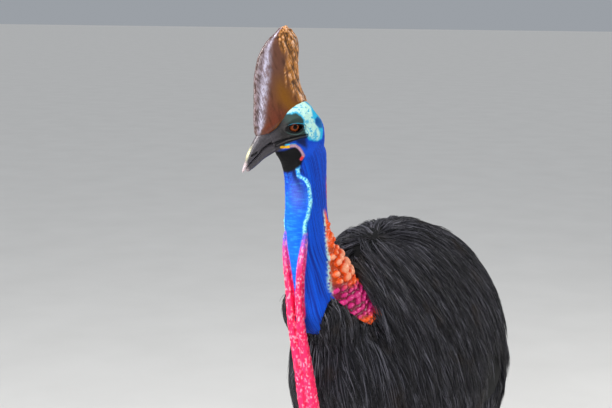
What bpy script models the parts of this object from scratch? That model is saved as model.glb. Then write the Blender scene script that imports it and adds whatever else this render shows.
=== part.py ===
"""A life-size southern cassowary that stands still, with its head turned to its right.

Units are metres and +Z is up. The bird faces -Y, its left side is +X, and it stands on a floor at z = 0.
"""

import math
import random

import bmesh
import bpy
import numpy as np
from mathutils import Vector
from mathutils.bvhtree import BVHTree

# Driving dimensions. Every length along Y is measured in the bird's own frame, which BIRD_SHIFT then
# moves so that the middle of the whole box stands over the origin.
BIRD_SHIFT = Vector((0.0, 0.025, 0.0))
GAP = 0.0004  # what touching nodes keep between their faces
SHARPEST_SEAT = 0.25  # limits how far the corners of a seat move out
SEED = 7
UP = Vector((0.0, 0.0, 1.0))

# Torso with its coat, as stations along Y: y, half width, top, bottom.
TORSO = (
    (-0.402, 0.028, 0.872, 0.772),
    (-0.388, 0.058, 0.904, 0.715),
    (-0.358, 0.088, 0.944, 0.665),
    (-0.315, 0.116, 0.984, 0.618),
    (-0.250, 0.153, 1.024, 0.566),
    (-0.160, 0.192, 1.051, 0.528),
    (-0.040, 0.218, 1.058, 0.508),
    (0.080, 0.227, 1.040, 0.500),
    (0.190, 0.215, 1.000, 0.496),
    (0.290, 0.182, 0.934, 0.498),
    (0.370, 0.135, 0.854, 0.512),
    (0.420, 0.090, 0.782, 0.538),
    (0.445, 0.050, 0.720, 0.578),
)
WIDEST_AT = 0.34  # height of the widest line, as a share from bottom to top
FLANK_FULLNESS = 0.80  # under 1, the coat hangs squarer below the widest line
COAT_DEPTH = 0.020  # from the core's surface out to the tips of the locks
LEAST_WIDTH = 0.2  # what the core keeps of the half width and of the height at the torso's ends
MOST_SQUEEZE = 0.35
TORSO_AROUND = 24
TORSO_ALONG = 12
TORSO_END = 0.35  # first ring's place, in steps from the very end, so that it has a size

# The coat: overlapping locks, whose rows lie across one stream that runs backwards and down.
COAT_STREAM = Vector((0.0, 0.44, -0.898))
COAT_LEVELS = (-0.985, -0.345)  # of the first and last row, measured along the stream
COAT_AXIS = (Vector((0.0, -0.235, 0.930)), Vector((0.0, 0.300, 0.560)))  # inside the torso
COAT_ROWS = 9
LOOP_RAYS = 72
LOCK_PITCH = 0.078
LOCK_LENGTH = 0.200
LOCK_HALF_WIDTH = 0.032
LOCK_SPREAD = (0.92, 1.08)  # least and greatest size of a lock
LOCK_KEEL = 0.4  # depth of the keel under a lock, as a share of its thickness
# Along a lock: share of its length, share of its width, height of its middle, thickness.
LOCK_SHAPE = (
    (0.00, 0.55, -0.0120, 0.0060),
    (0.45, 1.00, 0.0040, 0.0090),
    (1.00, 0.00, 0.0170, 0.0000),
)
LIE_STEPS = 12  # points found along the body's surface for one lock
LOCK_SEAT_FACE = 1.5  # growth of a lock's seat at its faces, as a multiple of the gap
LOCK_SEAT_SIDE = 5.0  # how much further a thin lock's seat grows at its edges than at its faces
HANGING_CLING = 0.20  # how closely a lock follows the body under the widest line; 1 is fully
BARE_UNDERSIDE = 0.66  # roots keep off where the body faces down more than this
ON_THE_NECK = 1.12  # a point within this multiple of the neck's size belongs to it
# Where the plumage starts on the neck: angle from the throat round to the nape, and height.
FEATHER_LINE = (
    (0.0, 0.862),
    (18.0, 0.866),
    (45.0, 0.918),
    (60.0, 0.884),
    (78.0, 0.864),
    (100.0, 0.886),
    (130.0, 0.926),
    (180.0, 0.966),
)

# Neck, as level stations: z, centre x, centre y, half width, half depth, turn in degrees.
NECK = (
    (0.835, 0.000, -0.276, 0.060, 0.072, 0.0),
    (0.862, 0.000, -0.296, 0.084, 0.110, 0.0),
    (0.900, 0.000, -0.328, 0.080, 0.118, 0.0),
    (0.950, 0.000, -0.357, 0.066, 0.100, 1.0),
    (1.000, 0.000, -0.385, 0.054, 0.077, 3.0),
    (1.050, 0.000, -0.410, 0.045, 0.059, 8.0),
    (1.100, 0.000, -0.424, 0.041, 0.049, 13.0),
    (1.170, 0.000, -0.429, 0.038, 0.045, 22.0),
    (1.205, -0.001, -0.430, 0.037, 0.046, 27.0),
    (1.232, -0.003, -0.434, 0.037, 0.051, 30.0),
    (1.250, -0.006, -0.440, 0.034, 0.056, 30.0),
    (1.264, -0.008, -0.444, 0.029, 0.052, 30.0),
)
NECK_AROUND = 16
NECK_STEP = 0.038
NECK_CUTS = (1.100, 1.212)  # levels where one length of neck meets the next
HEAD_NECK_LEVELS = (1.232, 1.250, 1.264)  # of the top of the neck, which the head carries

# Head, in its own level frame: forward, left and up from the point midway between the eyes.
EYE_MIDDLE = Vector((-0.019, -0.465, 1.3025))
HEAD_TURN = math.radians(30.0)  # to the bird's right
HEAD_PITCH = math.radians(21.0)  # bill down
# Stations: forward, top, bottom, half width.
HEAD = (
    (-0.0745, -0.0260, -0.0460, 0.0070),
    (-0.0725, -0.0150, -0.0560, 0.0140),
    (-0.0680, -0.0030, -0.0660, 0.0190),
    (-0.0630, 0.0060, -0.0720, 0.0225),
    (-0.0560, 0.0240, -0.0750, 0.0258),
    (-0.0440, 0.0360, -0.0750, 0.0290),
    (-0.0300, 0.0405, -0.0740, 0.0310),
    (-0.0150, 0.0405, -0.0700, 0.0315),
    (0.0000, 0.0365, -0.0620, 0.0295),
    (0.0150, 0.0290, -0.0530, 0.0255),
    (0.0300, 0.0190, -0.0440, 0.0205),
    (0.0450, 0.0120, -0.0360, 0.0165),
    (0.0520, 0.0110, -0.0335, 0.0150),
)
HEAD_AROUND = 14
HEAD_WIDEST_AT = 0.62  # height of the widest line, as a share from bottom to top
HEAD_FULLNESS = 0.95  # 1 gives ellipses across the head and the bill, less gives squarer ones
BILL_UPPER = (  # forward, top, bottom, half width
    (0.0440, 0.0110, -0.0142, 0.0140),
    (0.0600, 0.0130, -0.0150, 0.0128),
    (0.0720, 0.0118, -0.0175, 0.0114),
    (0.0800, 0.0065, -0.0210, 0.0104),
    (0.0900, -0.0015, -0.0262, 0.0092),
    (0.1000, -0.0098, -0.0300, 0.0078),
    (0.1100, -0.0195, -0.0342, 0.0062),
    (0.1180, -0.0292, -0.0388, 0.0046),
    (0.1250, -0.0372, -0.0440, 0.0028),
    (0.1285, -0.0418, -0.0458, 0.0012),
)
BILL_LOWER = (
    (0.0440, -0.0150, -0.0362, 0.0124),
    (0.0600, -0.0158, -0.0376, 0.0112),
    (0.0720, -0.0183, -0.0388, 0.0098),
    (0.0800, -0.0218, -0.0402, 0.0088),
    (0.0900, -0.0270, -0.0432, 0.0076),
    (0.1000, -0.0308, -0.0458, 0.0064),
    (0.1100, -0.0350, -0.0478, 0.0050),
    (0.1165, -0.0392, -0.0484, 0.0034),
    (0.1195, -0.0420, -0.0474, 0.0014),
)
BILL_AROUND = 12
UPPER_WIDEST_AT = 0.30  # height of the widest line of each half, as a share from bottom to top
LOWER_WIDEST_AT = 0.72
NOSTRIL_AT = (0.0945, 0.0086, -0.0200)  # forward, to the side, up
NOSTRIL_SIZE = (0.0060, 0.0030, 0.0017)
NOSTRIL_SLOPE = 0.35  # how far it points down for each metre forward
CASQUE = (  # up, front, rear, half thickness
    (0.0060, 0.0720, 0.0420, 0.0100),
    (0.0140, 0.0760, 0.0290, 0.0145),
    (0.0240, 0.0738, 0.0200, 0.0170),
    (0.0310, 0.0720, 0.0130, 0.0185),
    (0.0350, 0.0705, -0.0100, 0.0195),
    (0.0378, 0.0697, -0.0340, 0.0195),
    (0.0410, 0.0685, -0.0535, 0.0192),
    (0.0500, 0.0650, -0.0530, 0.0190),
    (0.0720, 0.0560, -0.0535, 0.0180),
    (0.0960, 0.0465, -0.0595, 0.0166),
    (0.1180, 0.0375, -0.0680, 0.0152),
    (0.1400, 0.0240, -0.0780, 0.0136),
    (0.1580, 0.0090, -0.0805, 0.0120),
    (0.1720, -0.0110, -0.0760, 0.0102),
    (0.1810, -0.0320, -0.0710, 0.0080),
    (0.1875, -0.0510, -0.0660, 0.0050),
)
CASQUE_AROUND = 14
EYE_SIDE = 0.0180  # of the eyeball's centre
EYE_RADIUS = 0.0130
LID_RADIUS = 0.0122
LID_THICKNESS = 0.0028
EAR_AT = (-0.0370, 0.0300, -0.0060)
EAR_SIZE = (0.0048, 0.0045, 0.0062)
CASQUE_TAPER = 0.28  # how much thinner the casque is in front than behind
LID_STRETCH = (1.12, 0.94)  # of the ring of lid, forward and up
LID_OUT = 0.0088  # of its middle, from the eyeball's centre

# Caruncles, on the lower neck: their rows run from the nape down to the lobe on each side.
CARUNCLE_ROWS = (  # z, first angle and last angle from the throat round to the nape, radius
    (1.066, 106.0, 158.0, 0.0075),
    (1.040, 90.0, 156.0, 0.0086),
    (1.014, 76.0, 152.0, 0.0094),
    (0.988, 67.0, 146.0, 0.0100),
    (0.962, 60.0, 134.0, 0.0102),
    (0.936, 55.0, 112.0, 0.0102),
    (0.911, 56.0, 94.0, 0.0096),
)
CARUNCLE_PITCH = 0.0265
CARUNCLE_SHAPE = (1.12, 0.92, 0.95)  # a bulb's width, height and depth, as multiples of its radius
CARUNCLE_RISE = 0.1  # of a bulb's middle out of the skin, as a share of its radius
SIZE_SPREAD_BULBS = (0.88, 1.12)
CARUNCLE_AROUND = 6
CARUNCLE_BANDS = 3

# Wattles, each a strip from the throat: z, middle to the side, y, half width, half thickness.
WATTLE = (
    (1.082, 0.0250, -0.4640, 0.0030, 0.0030),
    (1.050, 0.0235, -0.4660, 0.0060, 0.0050),
    (1.000, 0.0195, -0.4660, 0.0078, 0.0062),
    (0.950, 0.0148, -0.4660, 0.0090, 0.0066),
    (0.900, 0.0118, -0.4610, 0.0098, 0.0068),
    (0.850, 0.0112, -0.4480, 0.0104, 0.0072),
    (0.790, 0.0116, -0.4370, 0.0112, 0.0080),
    (0.730, 0.0122, -0.4300, 0.0122, 0.0088),
    (0.690, 0.0124, -0.4270, 0.0118, 0.0086),
    (0.668, 0.0122, -0.4260, 0.0070, 0.0054),
)
WATTLE_SWAY = 0.022  # how far the free ends hang to the bird's left
WATTLE_FREE_BELOW = 0.93
WATTLE_AROUND = 7
WATTLE_ROWS = 16
WATTLE_FOLDS = 0.0010  # depth of the fold at every second row

# Legs, for the left side: side, y, z, radius to the side, radius fore and aft.
THIGH = (
    (0.098, -0.010, 0.640, 0.074, 0.100),
    (0.102, 0.020, 0.580, 0.072, 0.094),
    (0.107, 0.055, 0.520, 0.060, 0.074),
    (0.111, 0.088, 0.465, 0.045, 0.052),
    (0.113, 0.104, 0.432, 0.034, 0.037),
)
THIGH_AROUND = 12
THIGH_LOCK_ROWS = (0.560, 0.505)  # heights of the roots
THIGH_LOCK_PITCH = 0.054
THIGH_LOCK_SIZE = 0.58
SHANK = (
    (0.1130, 0.1045, 0.4315, 0.0235, 0.0250),
    (0.1140, 0.1200, 0.4050, 0.0265, 0.0290),
    (0.1150, 0.1310, 0.3800, 0.0310, 0.0350),
    (0.1155, 0.1310, 0.3550, 0.0280, 0.0310),
    (0.1160, 0.1240, 0.3200, 0.0215, 0.0245),
    (0.1170, 0.1120, 0.2500, 0.0195, 0.0225),
    (0.1180, 0.0990, 0.1700, 0.0195, 0.0225),
    (0.1190, 0.0860, 0.1000, 0.0215, 0.0240),
    (0.1200, 0.0780, 0.0620, 0.0260, 0.0265),
    (0.1200, 0.0740, 0.0360, 0.0270, 0.0260),
    (0.1200, 0.0720, 0.0160, 0.0230, 0.0220),
)
SHANK_AROUND = 10
SCUTE_COUNT = 10
SCUTE_Z = (0.335, 0.075)
SCUTE_SIZE = (0.0125, 0.0040, 0.0092)  # half width, thickness, half height
SCUTE_ON = 0.0195  # half width of the shank that this half width fits
SCUTE_WRAP = 0.0048  # how far a scute's sides bend back round the shank
SCUTE_TILT = ((-1.0, 0.0016), (0.25, 0.0006), (1.0, -0.0030))  # share of height, how far proud

# Toes, for the left foot: name, root x, root y, heading in degrees to the left, length, half width,
# height, claw length, claw radius.
TOES = (
    ("inner", 0.1050, 0.0620, -24.0, 0.0880, 0.0150, 0.0320, 0.100, 0.0085),
    ("middle", 0.1200, 0.0560, 1.0, 0.1350, 0.0165, 0.0340, 0.040, 0.0075),
    ("outer", 0.1345, 0.0620, 27.0, 0.1000, 0.0145, 0.0310, 0.034, 0.0068),
)
TOE_JOINTS = 3
TOE_SWELL = 0.10  # at a joint, as a share of the toe's size
TOE_TAPER = 0.30
TOE_END = 0.62  # how much smaller the last ring of a toe is
CLAW_SUNK = 0.07  # of a toe's length, that its claw reaches back into it
CLAW_RISE = 0.40  # of a claw's middle where it leaves the toe, as a share of the toe's height
CLAW_ARCH = 0.004
CLAW_TIP_HEIGHT = 0.004
CLAW_ROWS = 4
HEEL_PAD = (0.0720, 0.0200)  # y of its middle and its radius
HEEL_LEVELS = ((0.0, 0.86), (0.006, 1.0), (0.020, 0.95))  # z, share of the radius

# Wings: a stub under the flank's coat, and the bare quills that hang from it.
WING_ROOT = Vector((0.192, 0.010, 0.660))
WING_TIP = Vector((0.200, 0.085, 0.605))
WING_RADIUS = 0.013
WING_FLATNESS = 1.3  # depth of the stub for one of its thickness
WING_OVERREACH = 0.62  # half length of the stub, as a share from its root to its tip
QUILL_COUNT = 5
QUILLS_START = 0.22  # place of the first quill, as a share from the wing's root to its tip
QUILL_LENGTH = 0.190
QUILL_SHORTENING = 0.14  # of a quill at the root of the wing
QUILL_TAPER = 0.75
QUILL_RADIUS = 0.0024
QUILL_STEPS = 4
QUILL_AROUND = 4
QUILL_FLARE = 0.030
QUILL_SWEEP = 0.050

# Tail: a short cone under the rump's coat.
TAIL = (  # y, z, half width, half height
    (0.330, 0.690, 0.066, 0.076),
    (0.380, 0.668, 0.060, 0.068),
    (0.430, 0.640, 0.048, 0.056),
    (0.462, 0.614, 0.030, 0.038),
    (0.472, 0.600, 0.012, 0.016),
)
TAIL_AROUND = 12
TAIL_STARTS_AT = 0.395  # roots behind this belong to the tail

SKIN_BLUE = (0.02, 0.12, 0.62)
SKIN_PALE = (0.35, 0.72, 0.74)
RED = (0.80, 0.06, 0.14)
ORANGE = (0.85, 0.22, 0.10)
BLACK = (0.018, 0.018, 0.021)
HORN = (0.05, 0.05, 0.055)
QUILL_BLACK = (0.03, 0.03, 0.035)
CASQUE_BROWN = (0.17, 0.09, 0.05)
SCALE_GREY = (0.26, 0.24, 0.20)
IRIS = (0.30, 0.09, 0.03)


def material(name, colour, roughness):
    """A Principled material, made once for each name."""
    made = bpy.data.materials.get(name)
    if made is None:
        made = bpy.data.materials.new(name)
        made.use_nodes = True
        shader = made.node_tree.nodes["Principled BSDF"]
        shader.inputs["Base Color"].default_value = (*colour, 1.0)
        shader.inputs["Roughness"].default_value = roughness
        shader.inputs["Metallic"].default_value = 0.0
    return made


def along(stations, key):
    """The sizes at a key, on a smooth curve through the rows of a station table."""
    table = np.array(stations, float)
    if table[0, 0] > table[-1, 0]:
        table = table[::-1]
    keys, sizes = table[:, 0], table[:, 1:]
    slopes = np.gradient(sizes, keys, axis=0)
    i = int(np.clip(np.searchsorted(keys, key) - 1, 0, len(keys) - 2))
    span = keys[i + 1] - keys[i]
    t = min(max((key - keys[i]) / span, 0.0), 1.0)
    ease = t * t * (3.0 - 2.0 * t)
    lead = slopes[i] * span * t * (1.0 - t) ** 2
    trail = slopes[i + 1] * span * t * t * (1.0 - t)
    return (sizes[i] * (1.0 - ease) + sizes[i + 1] * ease + lead - trail).tolist()


def signed_power(value, power):
    return math.copysign(abs(value) ** power, value)


def turns(count, phase=0.0):
    return [2.0 * math.pi * (i + phase) / count for i in range(count)]


def mesh_object(name, points, faces, look):
    """A closed mesh object with its faces turned outwards."""
    mesh = bpy.data.meshes.new(name)
    mesh.from_pydata([tuple(p) for p in points], [], faces)
    work = bmesh.new()
    work.from_mesh(mesh)
    bmesh.ops.recalc_face_normals(work, faces=work.faces)
    bmesh.ops.triangulate(work, faces=work.faces)
    work.to_mesh(mesh)
    work.free()
    mesh.materials.append(look)
    made = bpy.data.objects.new(name, mesh)
    bpy.context.scene.collection.objects.link(made)
    return made


def strips(rows, count):
    """The triangles between neighbouring rings, numbered ring by ring."""
    faces = []
    for i in range(rows - 1):
        low, high = i * count, (i + 1) * count
        for j in range(count):
            k = (j + 1) % count
            faces += [(low + j, low + k, high + k), (low + j, high + k, high + j)]
    return faces


def loft(name, rings, look, tip=None):
    """A closed tube through rings of equal count. It ends in the point tip, or in a flat cap."""
    count = len(rings[0])
    points = [p for ring in rings for p in ring]
    faces = strips(len(rings), count)
    faces.append(tuple(reversed(range(count))))
    last = (len(rings) - 1) * count
    if tip is None:
        faces.append(tuple(range(last, last + count)))
    else:
        points.append(tip)
        faces += [(last + j, last + (j + 1) % count, len(points) - 1) for j in range(count)]
    return mesh_object(name, points, faces, look)


def ball(name, centre, axes, around, rows, look):
    """An ellipsoid whose three half axes are the given vectors; its poles lie on the last one."""
    a, b, c = axes
    rings = []
    for i in range(1, rows):
        tilt = math.pi * i / rows - math.pi / 2.0
        ring = [
            centre + math.cos(tilt) * (math.cos(t) * a + math.sin(t) * b) + math.sin(tilt) * c
            for t in turns(around)
        ]
        rings.append(ring)
    points = [p for ring in rings for p in ring] + [centre - c, centre + c]
    faces = strips(len(rings), around)
    last = (len(rings) - 1) * around
    faces += [((j + 1) % around, j, len(points) - 2) for j in range(around)]
    faces += [(last + j, last + (j + 1) % around, len(points) - 1) for j in range(around)]
    return mesh_object(name, points, faces, look)


def apply_modifiers(target):
    graph = bpy.context.evaluated_depsgraph_get()
    graph.update()
    target.data = bpy.data.meshes.new_from_object(target.evaluated_get(graph))
    target.modifiers.clear()


def remove(objects):
    for item in list(objects):
        bpy.data.objects.remove(item)


def boolean(target, operation, others, solver="MANIFOLD"):
    """Joins the others to the target, or cuts them from it, in one step."""
    group = bpy.data.collections.new("operands")
    bpy.context.scene.collection.children.link(group)
    for item in others:
        bpy.context.scene.collection.objects.unlink(item)
        group.objects.link(item)
    step = target.modifiers.new("join", "BOOLEAN")
    step.operation = operation
    step.operand_type = "COLLECTION"
    step.collection = group
    step.solver = solver
    apply_modifiers(target)
    remove(group.objects)
    bpy.data.collections.remove(group)
    keep_largest(target)
    return target


def keep_largest(target):
    """Leaves the target only its largest closed surface."""
    work = bmesh.new()
    work.from_mesh(target.data)
    unseen = set(work.faces)
    parts = []
    while unseen:
        part = {unseen.pop()}
        edge = list(part)
        while edge:
            shared = [e for face in edge for e in face.edges if len(e.link_faces) == 2]
            found = {face for e in shared for face in e.link_faces} & unseen
            unseen -= found
            part |= found
            edge = list(found)
        parts.append(part)
    parts.sort(key=lambda part: sum(face.calc_area() for face in part))
    spare = [face for part in parts[:-1] for face in part]
    if spare:
        bmesh.ops.delete(work, geom=spare, context="FACES")
        loose = [v for v in work.verts if not v.link_faces]
        bmesh.ops.delete(work, geom=loose, context="VERTS")
    work.to_mesh(target.data)
    work.free()


def grown(source, by=GAP):
    """A copy of a mesh object, swollen along its normals, to cut a seat for it with a gap."""
    copy = bpy.data.objects.new(source.name + "_seat", source.data.copy())
    bpy.context.scene.collection.objects.link(copy)
    work = bmesh.new()
    work.from_mesh(copy.data)
    work.normal_update()
    moves = []
    for v in work.verts:
        facing = min(v.normal.dot(face.normal) for face in v.link_faces)
        moves.append(v.normal * by / max(facing, SHARPEST_SEAT))
    for v, move in zip(work.verts, moves):
        v.co += move
    work.to_mesh(copy.data)
    work.free()
    return copy


def seat(target, *fitted):
    """Cuts room in the target for the nodes that are set into it."""
    return boolean(target, "DIFFERENCE", [grown(item) for item in fitted])


def head_axes():
    """The head's forward, left and up directions."""
    level = Vector((-math.sin(HEAD_TURN), -math.cos(HEAD_TURN), 0.0))
    down = Vector((0.0, 0.0, -1.0))
    forward = math.cos(HEAD_PITCH) * level + math.sin(HEAD_PITCH) * down
    up = math.sin(HEAD_PITCH) * level - math.cos(HEAD_PITCH) * down
    return forward, up.cross(forward), up


def head_point(forward, left, up):
    axes = head_axes()
    return EYE_MIDDLE + forward * axes[0] + left * axes[1] + up * axes[2]


def upright_ring(forward, top, bottom, half_width, count, widest_at):
    """A ring across the head's forward axis."""
    widest = bottom + widest_at * (top - bottom)
    ring = []
    for t in turns(count, 0.5):
        reach = top - widest if math.sin(t) > 0.0 else widest - bottom
        left = half_width * signed_power(math.cos(t), HEAD_FULLNESS)
        high = widest + reach * signed_power(math.sin(t), HEAD_FULLNESS)
        ring.append(head_point(forward, left, high))
    return ring


def head_loft(name, stations, count, widest_at, look):
    return loft(name, [upright_ring(*row, count, widest_at) for row in stations], look)


def neck_ring(z, swell=0.0):
    cx, cy, half_width, half_depth, turn = along(NECK, z)
    angle = math.radians(turn)
    forward = Vector((-math.sin(angle), -math.cos(angle), 0.0))
    left = Vector((math.cos(angle), -math.sin(angle), 0.0))
    centre = Vector((cx, cy, z))
    depth, width = half_depth + swell, half_width + swell
    return [
        centre + depth * math.cos(t) * forward + width * math.sin(t) * left for t in turns(NECK_AROUND)
    ]


def neck_point(z, degrees, swell=0.0):
    """A point on the neck, at an angle from the throat round the bird's left, and the way out from it."""
    cx, cy, half_width, half_depth, turn = along(NECK, z)
    angle, t = math.radians(turn), math.radians(degrees)
    forward = Vector((-math.sin(angle), -math.cos(angle), 0.0))
    left = Vector((math.cos(angle), -math.sin(angle), 0.0))
    out = (math.cos(t) / half_depth * forward + math.sin(t) / half_width * left).normalized()
    place = Vector((cx, cy, z)) + half_depth * math.cos(t) * forward + half_width * math.sin(t) * left
    return place + swell * out, out


def neck_length(name, low, high, look, grow=0.0):
    """One length of the neck, between two levels, with flat ends that keep the gap."""
    rows = max(2, round((high - low) / NECK_STEP))
    end = GAP / 2.0 - grow
    levels = [low + end + (high - low - 2.0 * end) * i / rows for i in range(rows + 1)]
    return loft(name, [neck_ring(z, swell=grow) for z in levels], look)


def torso_ring(share, inset, count):
    """A ring of the torso; share runs from the breast, 0, to the rump, 1."""
    front, rear = TORSO[0][0], TORSO[-1][0]
    half_width, top, bottom = along(TORSO, front + share * (rear - front))
    half_width = max(half_width - inset, LEAST_WIDTH * half_width)
    squeeze = min(inset, MOST_SQUEEZE * (top - bottom))
    top, bottom = top - squeeze, bottom + squeeze
    widest = bottom + WIDEST_AT * (top - bottom)
    y = front + inset + share * (rear - front - 2.0 * inset)
    ring = []
    for t in turns(count, 0.5):
        above = math.sin(t) > 0.0
        reach = top - widest if above else widest - bottom
        fullness = 1.0 if above else FLANK_FULLNESS
        across = half_width * signed_power(math.cos(t), fullness)
        ring.append(Vector((across, y, widest + reach * signed_power(math.sin(t), fullness))))
    return ring


def torso_core(name, inset, around, rows, look):
    step = math.pi / (rows + 2.0 * TORSO_END)
    shares = [(1.0 - math.cos(step * (i + TORSO_END))) / 2.0 for i in range(rows + 1)]
    return loft(name, [torso_ring(share, inset, around) for share in shares], look)


def leg_loft(name, stations, count, side, look, grow=0.0):
    """A length of leg, down through a list of level stations."""
    rings = [leg_ring(row, count, side, grow) for row in stations]
    rise = Vector((0.0, 0.0, grow))
    rings[0] = [p + rise for p in rings[0]]
    rings[-1] = [p - rise for p in rings[-1]]
    return loft(name, rings, look)


def leg_ring(row, count, side, grow=0.0):
    across, y, z, half_width, half_depth = row
    return [
        Vector((
            side * (across + (half_width + grow) * math.sin(t)),
            y - (half_depth + grow) * math.cos(t),
            z,
        ))
        for t in turns(count)
    ]


def build_casque(look):
    rings = []
    for height, front, rear, half_thickness in CASQUE:
        middle, reach = (front + rear) / 2.0, (front - rear) / 2.0
        ring = []
        for t in turns(CASQUE_AROUND):
            thin = half_thickness * (1.0 - CASQUE_TAPER * math.cos(t))
            side = thin * signed_power(math.sin(t), 0.85)
            ring.append(head_point(middle + reach * math.cos(t), side, height))
        rings.append(ring)
    return loft("casque", rings, look)


def build_eyes(look):
    forward, left, up = head_axes()
    eyes = []
    for name, side in (("eye_left", 1.0), ("eye_right", -1.0)):
        centre = head_point(0.0, side * EYE_SIDE, 0.0)
        axes = (EYE_RADIUS * forward, EYE_RADIUS * up, EYE_RADIUS * left)
        eyes.append(ball(name, centre, axes, 10, 6, look))
    return eyes


def lid(side, look):
    """The ring of skin round one eye."""
    forward, left, up = head_axes()
    out = (side * left + 0.10 * forward).normalized()
    rings = []
    for t in turns(12):
        spoke = LID_STRETCH[0] * math.cos(t) * forward + LID_STRETCH[1] * math.sin(t) * up
        middle = head_point(0.0, side * (EYE_SIDE + LID_OUT), 0.0) + LID_RADIUS * spoke
        ring = [middle + LID_THICKNESS * (math.cos(u) * spoke + math.sin(u) * out) for u in turns(5)]
        rings.append(ring)
    count = len(rings[0])
    points = [p for ring in rings for p in ring]
    faces = []
    for i in range(len(rings)):
        after = (i + 1) % len(rings)
        for j in range(count):
            k = (j + 1) % count
            faces.append((i * count + j, i * count + k, after * count + k, after * count + j))
    return mesh_object("lid", points, faces, look)


def build_nostrils(look):
    """The shapes that are cut from the upper bill as its nostrils."""
    forward, left, up = head_axes()
    slope = (forward - NOSTRIL_SLOPE * up).normalized()
    long_axis, deep, short = NOSTRIL_SIZE
    axes = (long_axis * slope, short * left.cross(slope), deep * left)
    ahead, across, high = NOSTRIL_AT
    return [
        ball("nostril", head_point(ahead, side * across, high), axes, 6, 4, look) for side in (1.0, -1.0)
    ]


def build_ears(look):
    """The shapes that are cut from the head as its ear openings."""
    forward, left, up = head_axes()
    axes = (EAR_SIZE[0] * forward, EAR_SIZE[2] * up, EAR_SIZE[1] * left)
    ahead, across, high = EAR_AT
    return [ball("ear", head_point(ahead, side * across, high), axes, 6, 4, look) for side in (1.0, -1.0)]


def build_head(casque, eyes, look, bill_look):
    """The head and both halves of the bill, with seats for the casque and the eyes."""
    head = head_loft("head", HEAD, HEAD_AROUND, HEAD_WIDEST_AT, look)
    stub = loft("stub", [neck_ring(z) for z in (NECK_CUTS[1] + GAP / 2.0, *HEAD_NECK_LEVELS)], look)
    boolean(head, "UNION", [stub, lid(1.0, look), lid(-1.0, look)])
    upper = head_loft("bill_upper", BILL_UPPER, BILL_AROUND, UPPER_WIDEST_AT, bill_look)
    lower = head_loft("bill_lower", BILL_LOWER, BILL_AROUND, LOWER_WIDEST_AT, bill_look)
    boolean(upper, "DIFFERENCE", build_nostrils(bill_look))
    seat(head, casque, upper, lower, *eyes)
    boolean(head, "DIFFERENCE", build_ears(look))
    seat(upper, casque)


def caruncles(look, grow=0.0):
    """Bulbs on both sides of the lower neck, in rows that step like brickwork."""
    rng = random.Random(SEED)
    bulbs = []
    for row, (z, first, last, radius) in enumerate(CARUNCLE_ROWS):
        _, _, half_width, half_depth, _ = along(NECK, z)
        span = math.radians(last - first) * (half_width + half_depth) / 2.0
        count = max(2, round(span / CARUNCLE_PITCH))
        for i in range(count):
            share = (i + 0.5 * (row % 2)) / count
            for side in (1.0, -1.0):
                angle = side * (first + share * (last - first) + rng.uniform(-2.0, 2.0))
                size = radius * rng.uniform(*SIZE_SPREAD_BULBS)
                place, out = neck_point(z + rng.uniform(-0.002, 0.002), angle, CARUNCLE_RISE * size)
                bulbs.append(bulb(place, out, size + grow, look))
    return bulbs


def bulb(place, out, size, look):
    level = Vector((0.0, 0.0, 1.0)).cross(out).normalized()
    wide, tall, proud = CARUNCLE_SHAPE
    axes = (wide * size * level, tall * size * out.cross(level), proud * size * out)
    return ball("bulb", place, axes, CARUNCLE_AROUND, CARUNCLE_BANDS, look)


def build_neck(skin, warty):
    """Both lengths of the neck, and on the lower one its bulbs. It returns the lower one."""
    neck_length("neck_upper", NECK_CUTS[0], NECK_CUTS[1], skin)
    lower = neck_length("neck_lower", NECK[0][0], NECK_CUTS[0], warty)
    return boolean(lower, "UNION", caruncles(warty))


def build_wattle(name, side, look):
    """One wattle: a fleshy strip that starts as a ridge on the throat and ends hanging free."""
    rings = []
    top, end = WATTLE[0][0], WATTLE[-1][0]
    for i in range(WATTLE_ROWS + 1):
        z = top + (end - top) * i / WATTLE_ROWS
        across, y, half_width, half_thickness = along(WATTLE, z)
        sway = WATTLE_SWAY * max(0.0, (WATTLE_FREE_BELOW - z) / (WATTLE_FREE_BELOW - end)) ** 1.2
        fold = WATTLE_FOLDS * (i % 2)
        centre = Vector((side * across + sway, y, z))
        ring = [
            centre + Vector((
                (half_width - fold) * math.cos(t),
                -(half_thickness - fold) * signed_power(math.sin(t), 0.8),
                0.0,
            ))
            for t in turns(WATTLE_AROUND, 0.5)
        ]
        rings.append(ring)
    return loft(name, rings, look)


def scute(side, z, look):
    """One of the plates down the front of a shank, tilted so that its lower edge stands proud."""
    across, y, half_width, half_depth = along([(r[2], *r[:2], *r[3:]) for r in SHANK], z)
    wide, thick, tall = SCUTE_SIZE
    wide *= half_width / SCUTE_ON
    rings = []
    for high, proud in SCUTE_TILT:
        ring = []
        for t in turns(6, 0.5):
            lean = SCUTE_WRAP * (1.0 - math.sqrt(1.0 - (0.9 * math.cos(t)) ** 2))
            forward = y - half_depth - proud + lean + 0.5 * thick * math.sin(t)
            ring.append(Vector((side * across + wide * math.cos(t), forward, z + tall * high)))
        rings.append(ring)
    return loft("scute", rings, look)


def build_shank(name, side, look):
    shank = leg_loft(name, SHANK, SHANK_AROUND, side, look)
    high, low = SCUTE_Z
    plates = [
        scute(side, high + (low - high) * i / (SCUTE_COUNT - 1), look) for i in range(SCUTE_COUNT)
    ]
    return boolean(shank, "UNION", plates)


def toe_axes(heading, side):
    """A toe's way forward and the level way across it."""
    angle = math.radians(heading) * side
    ahead = Vector((math.sin(angle), -math.cos(angle), 0.0))
    return ahead, Vector((math.cos(angle), math.sin(angle), 0.0))


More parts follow.
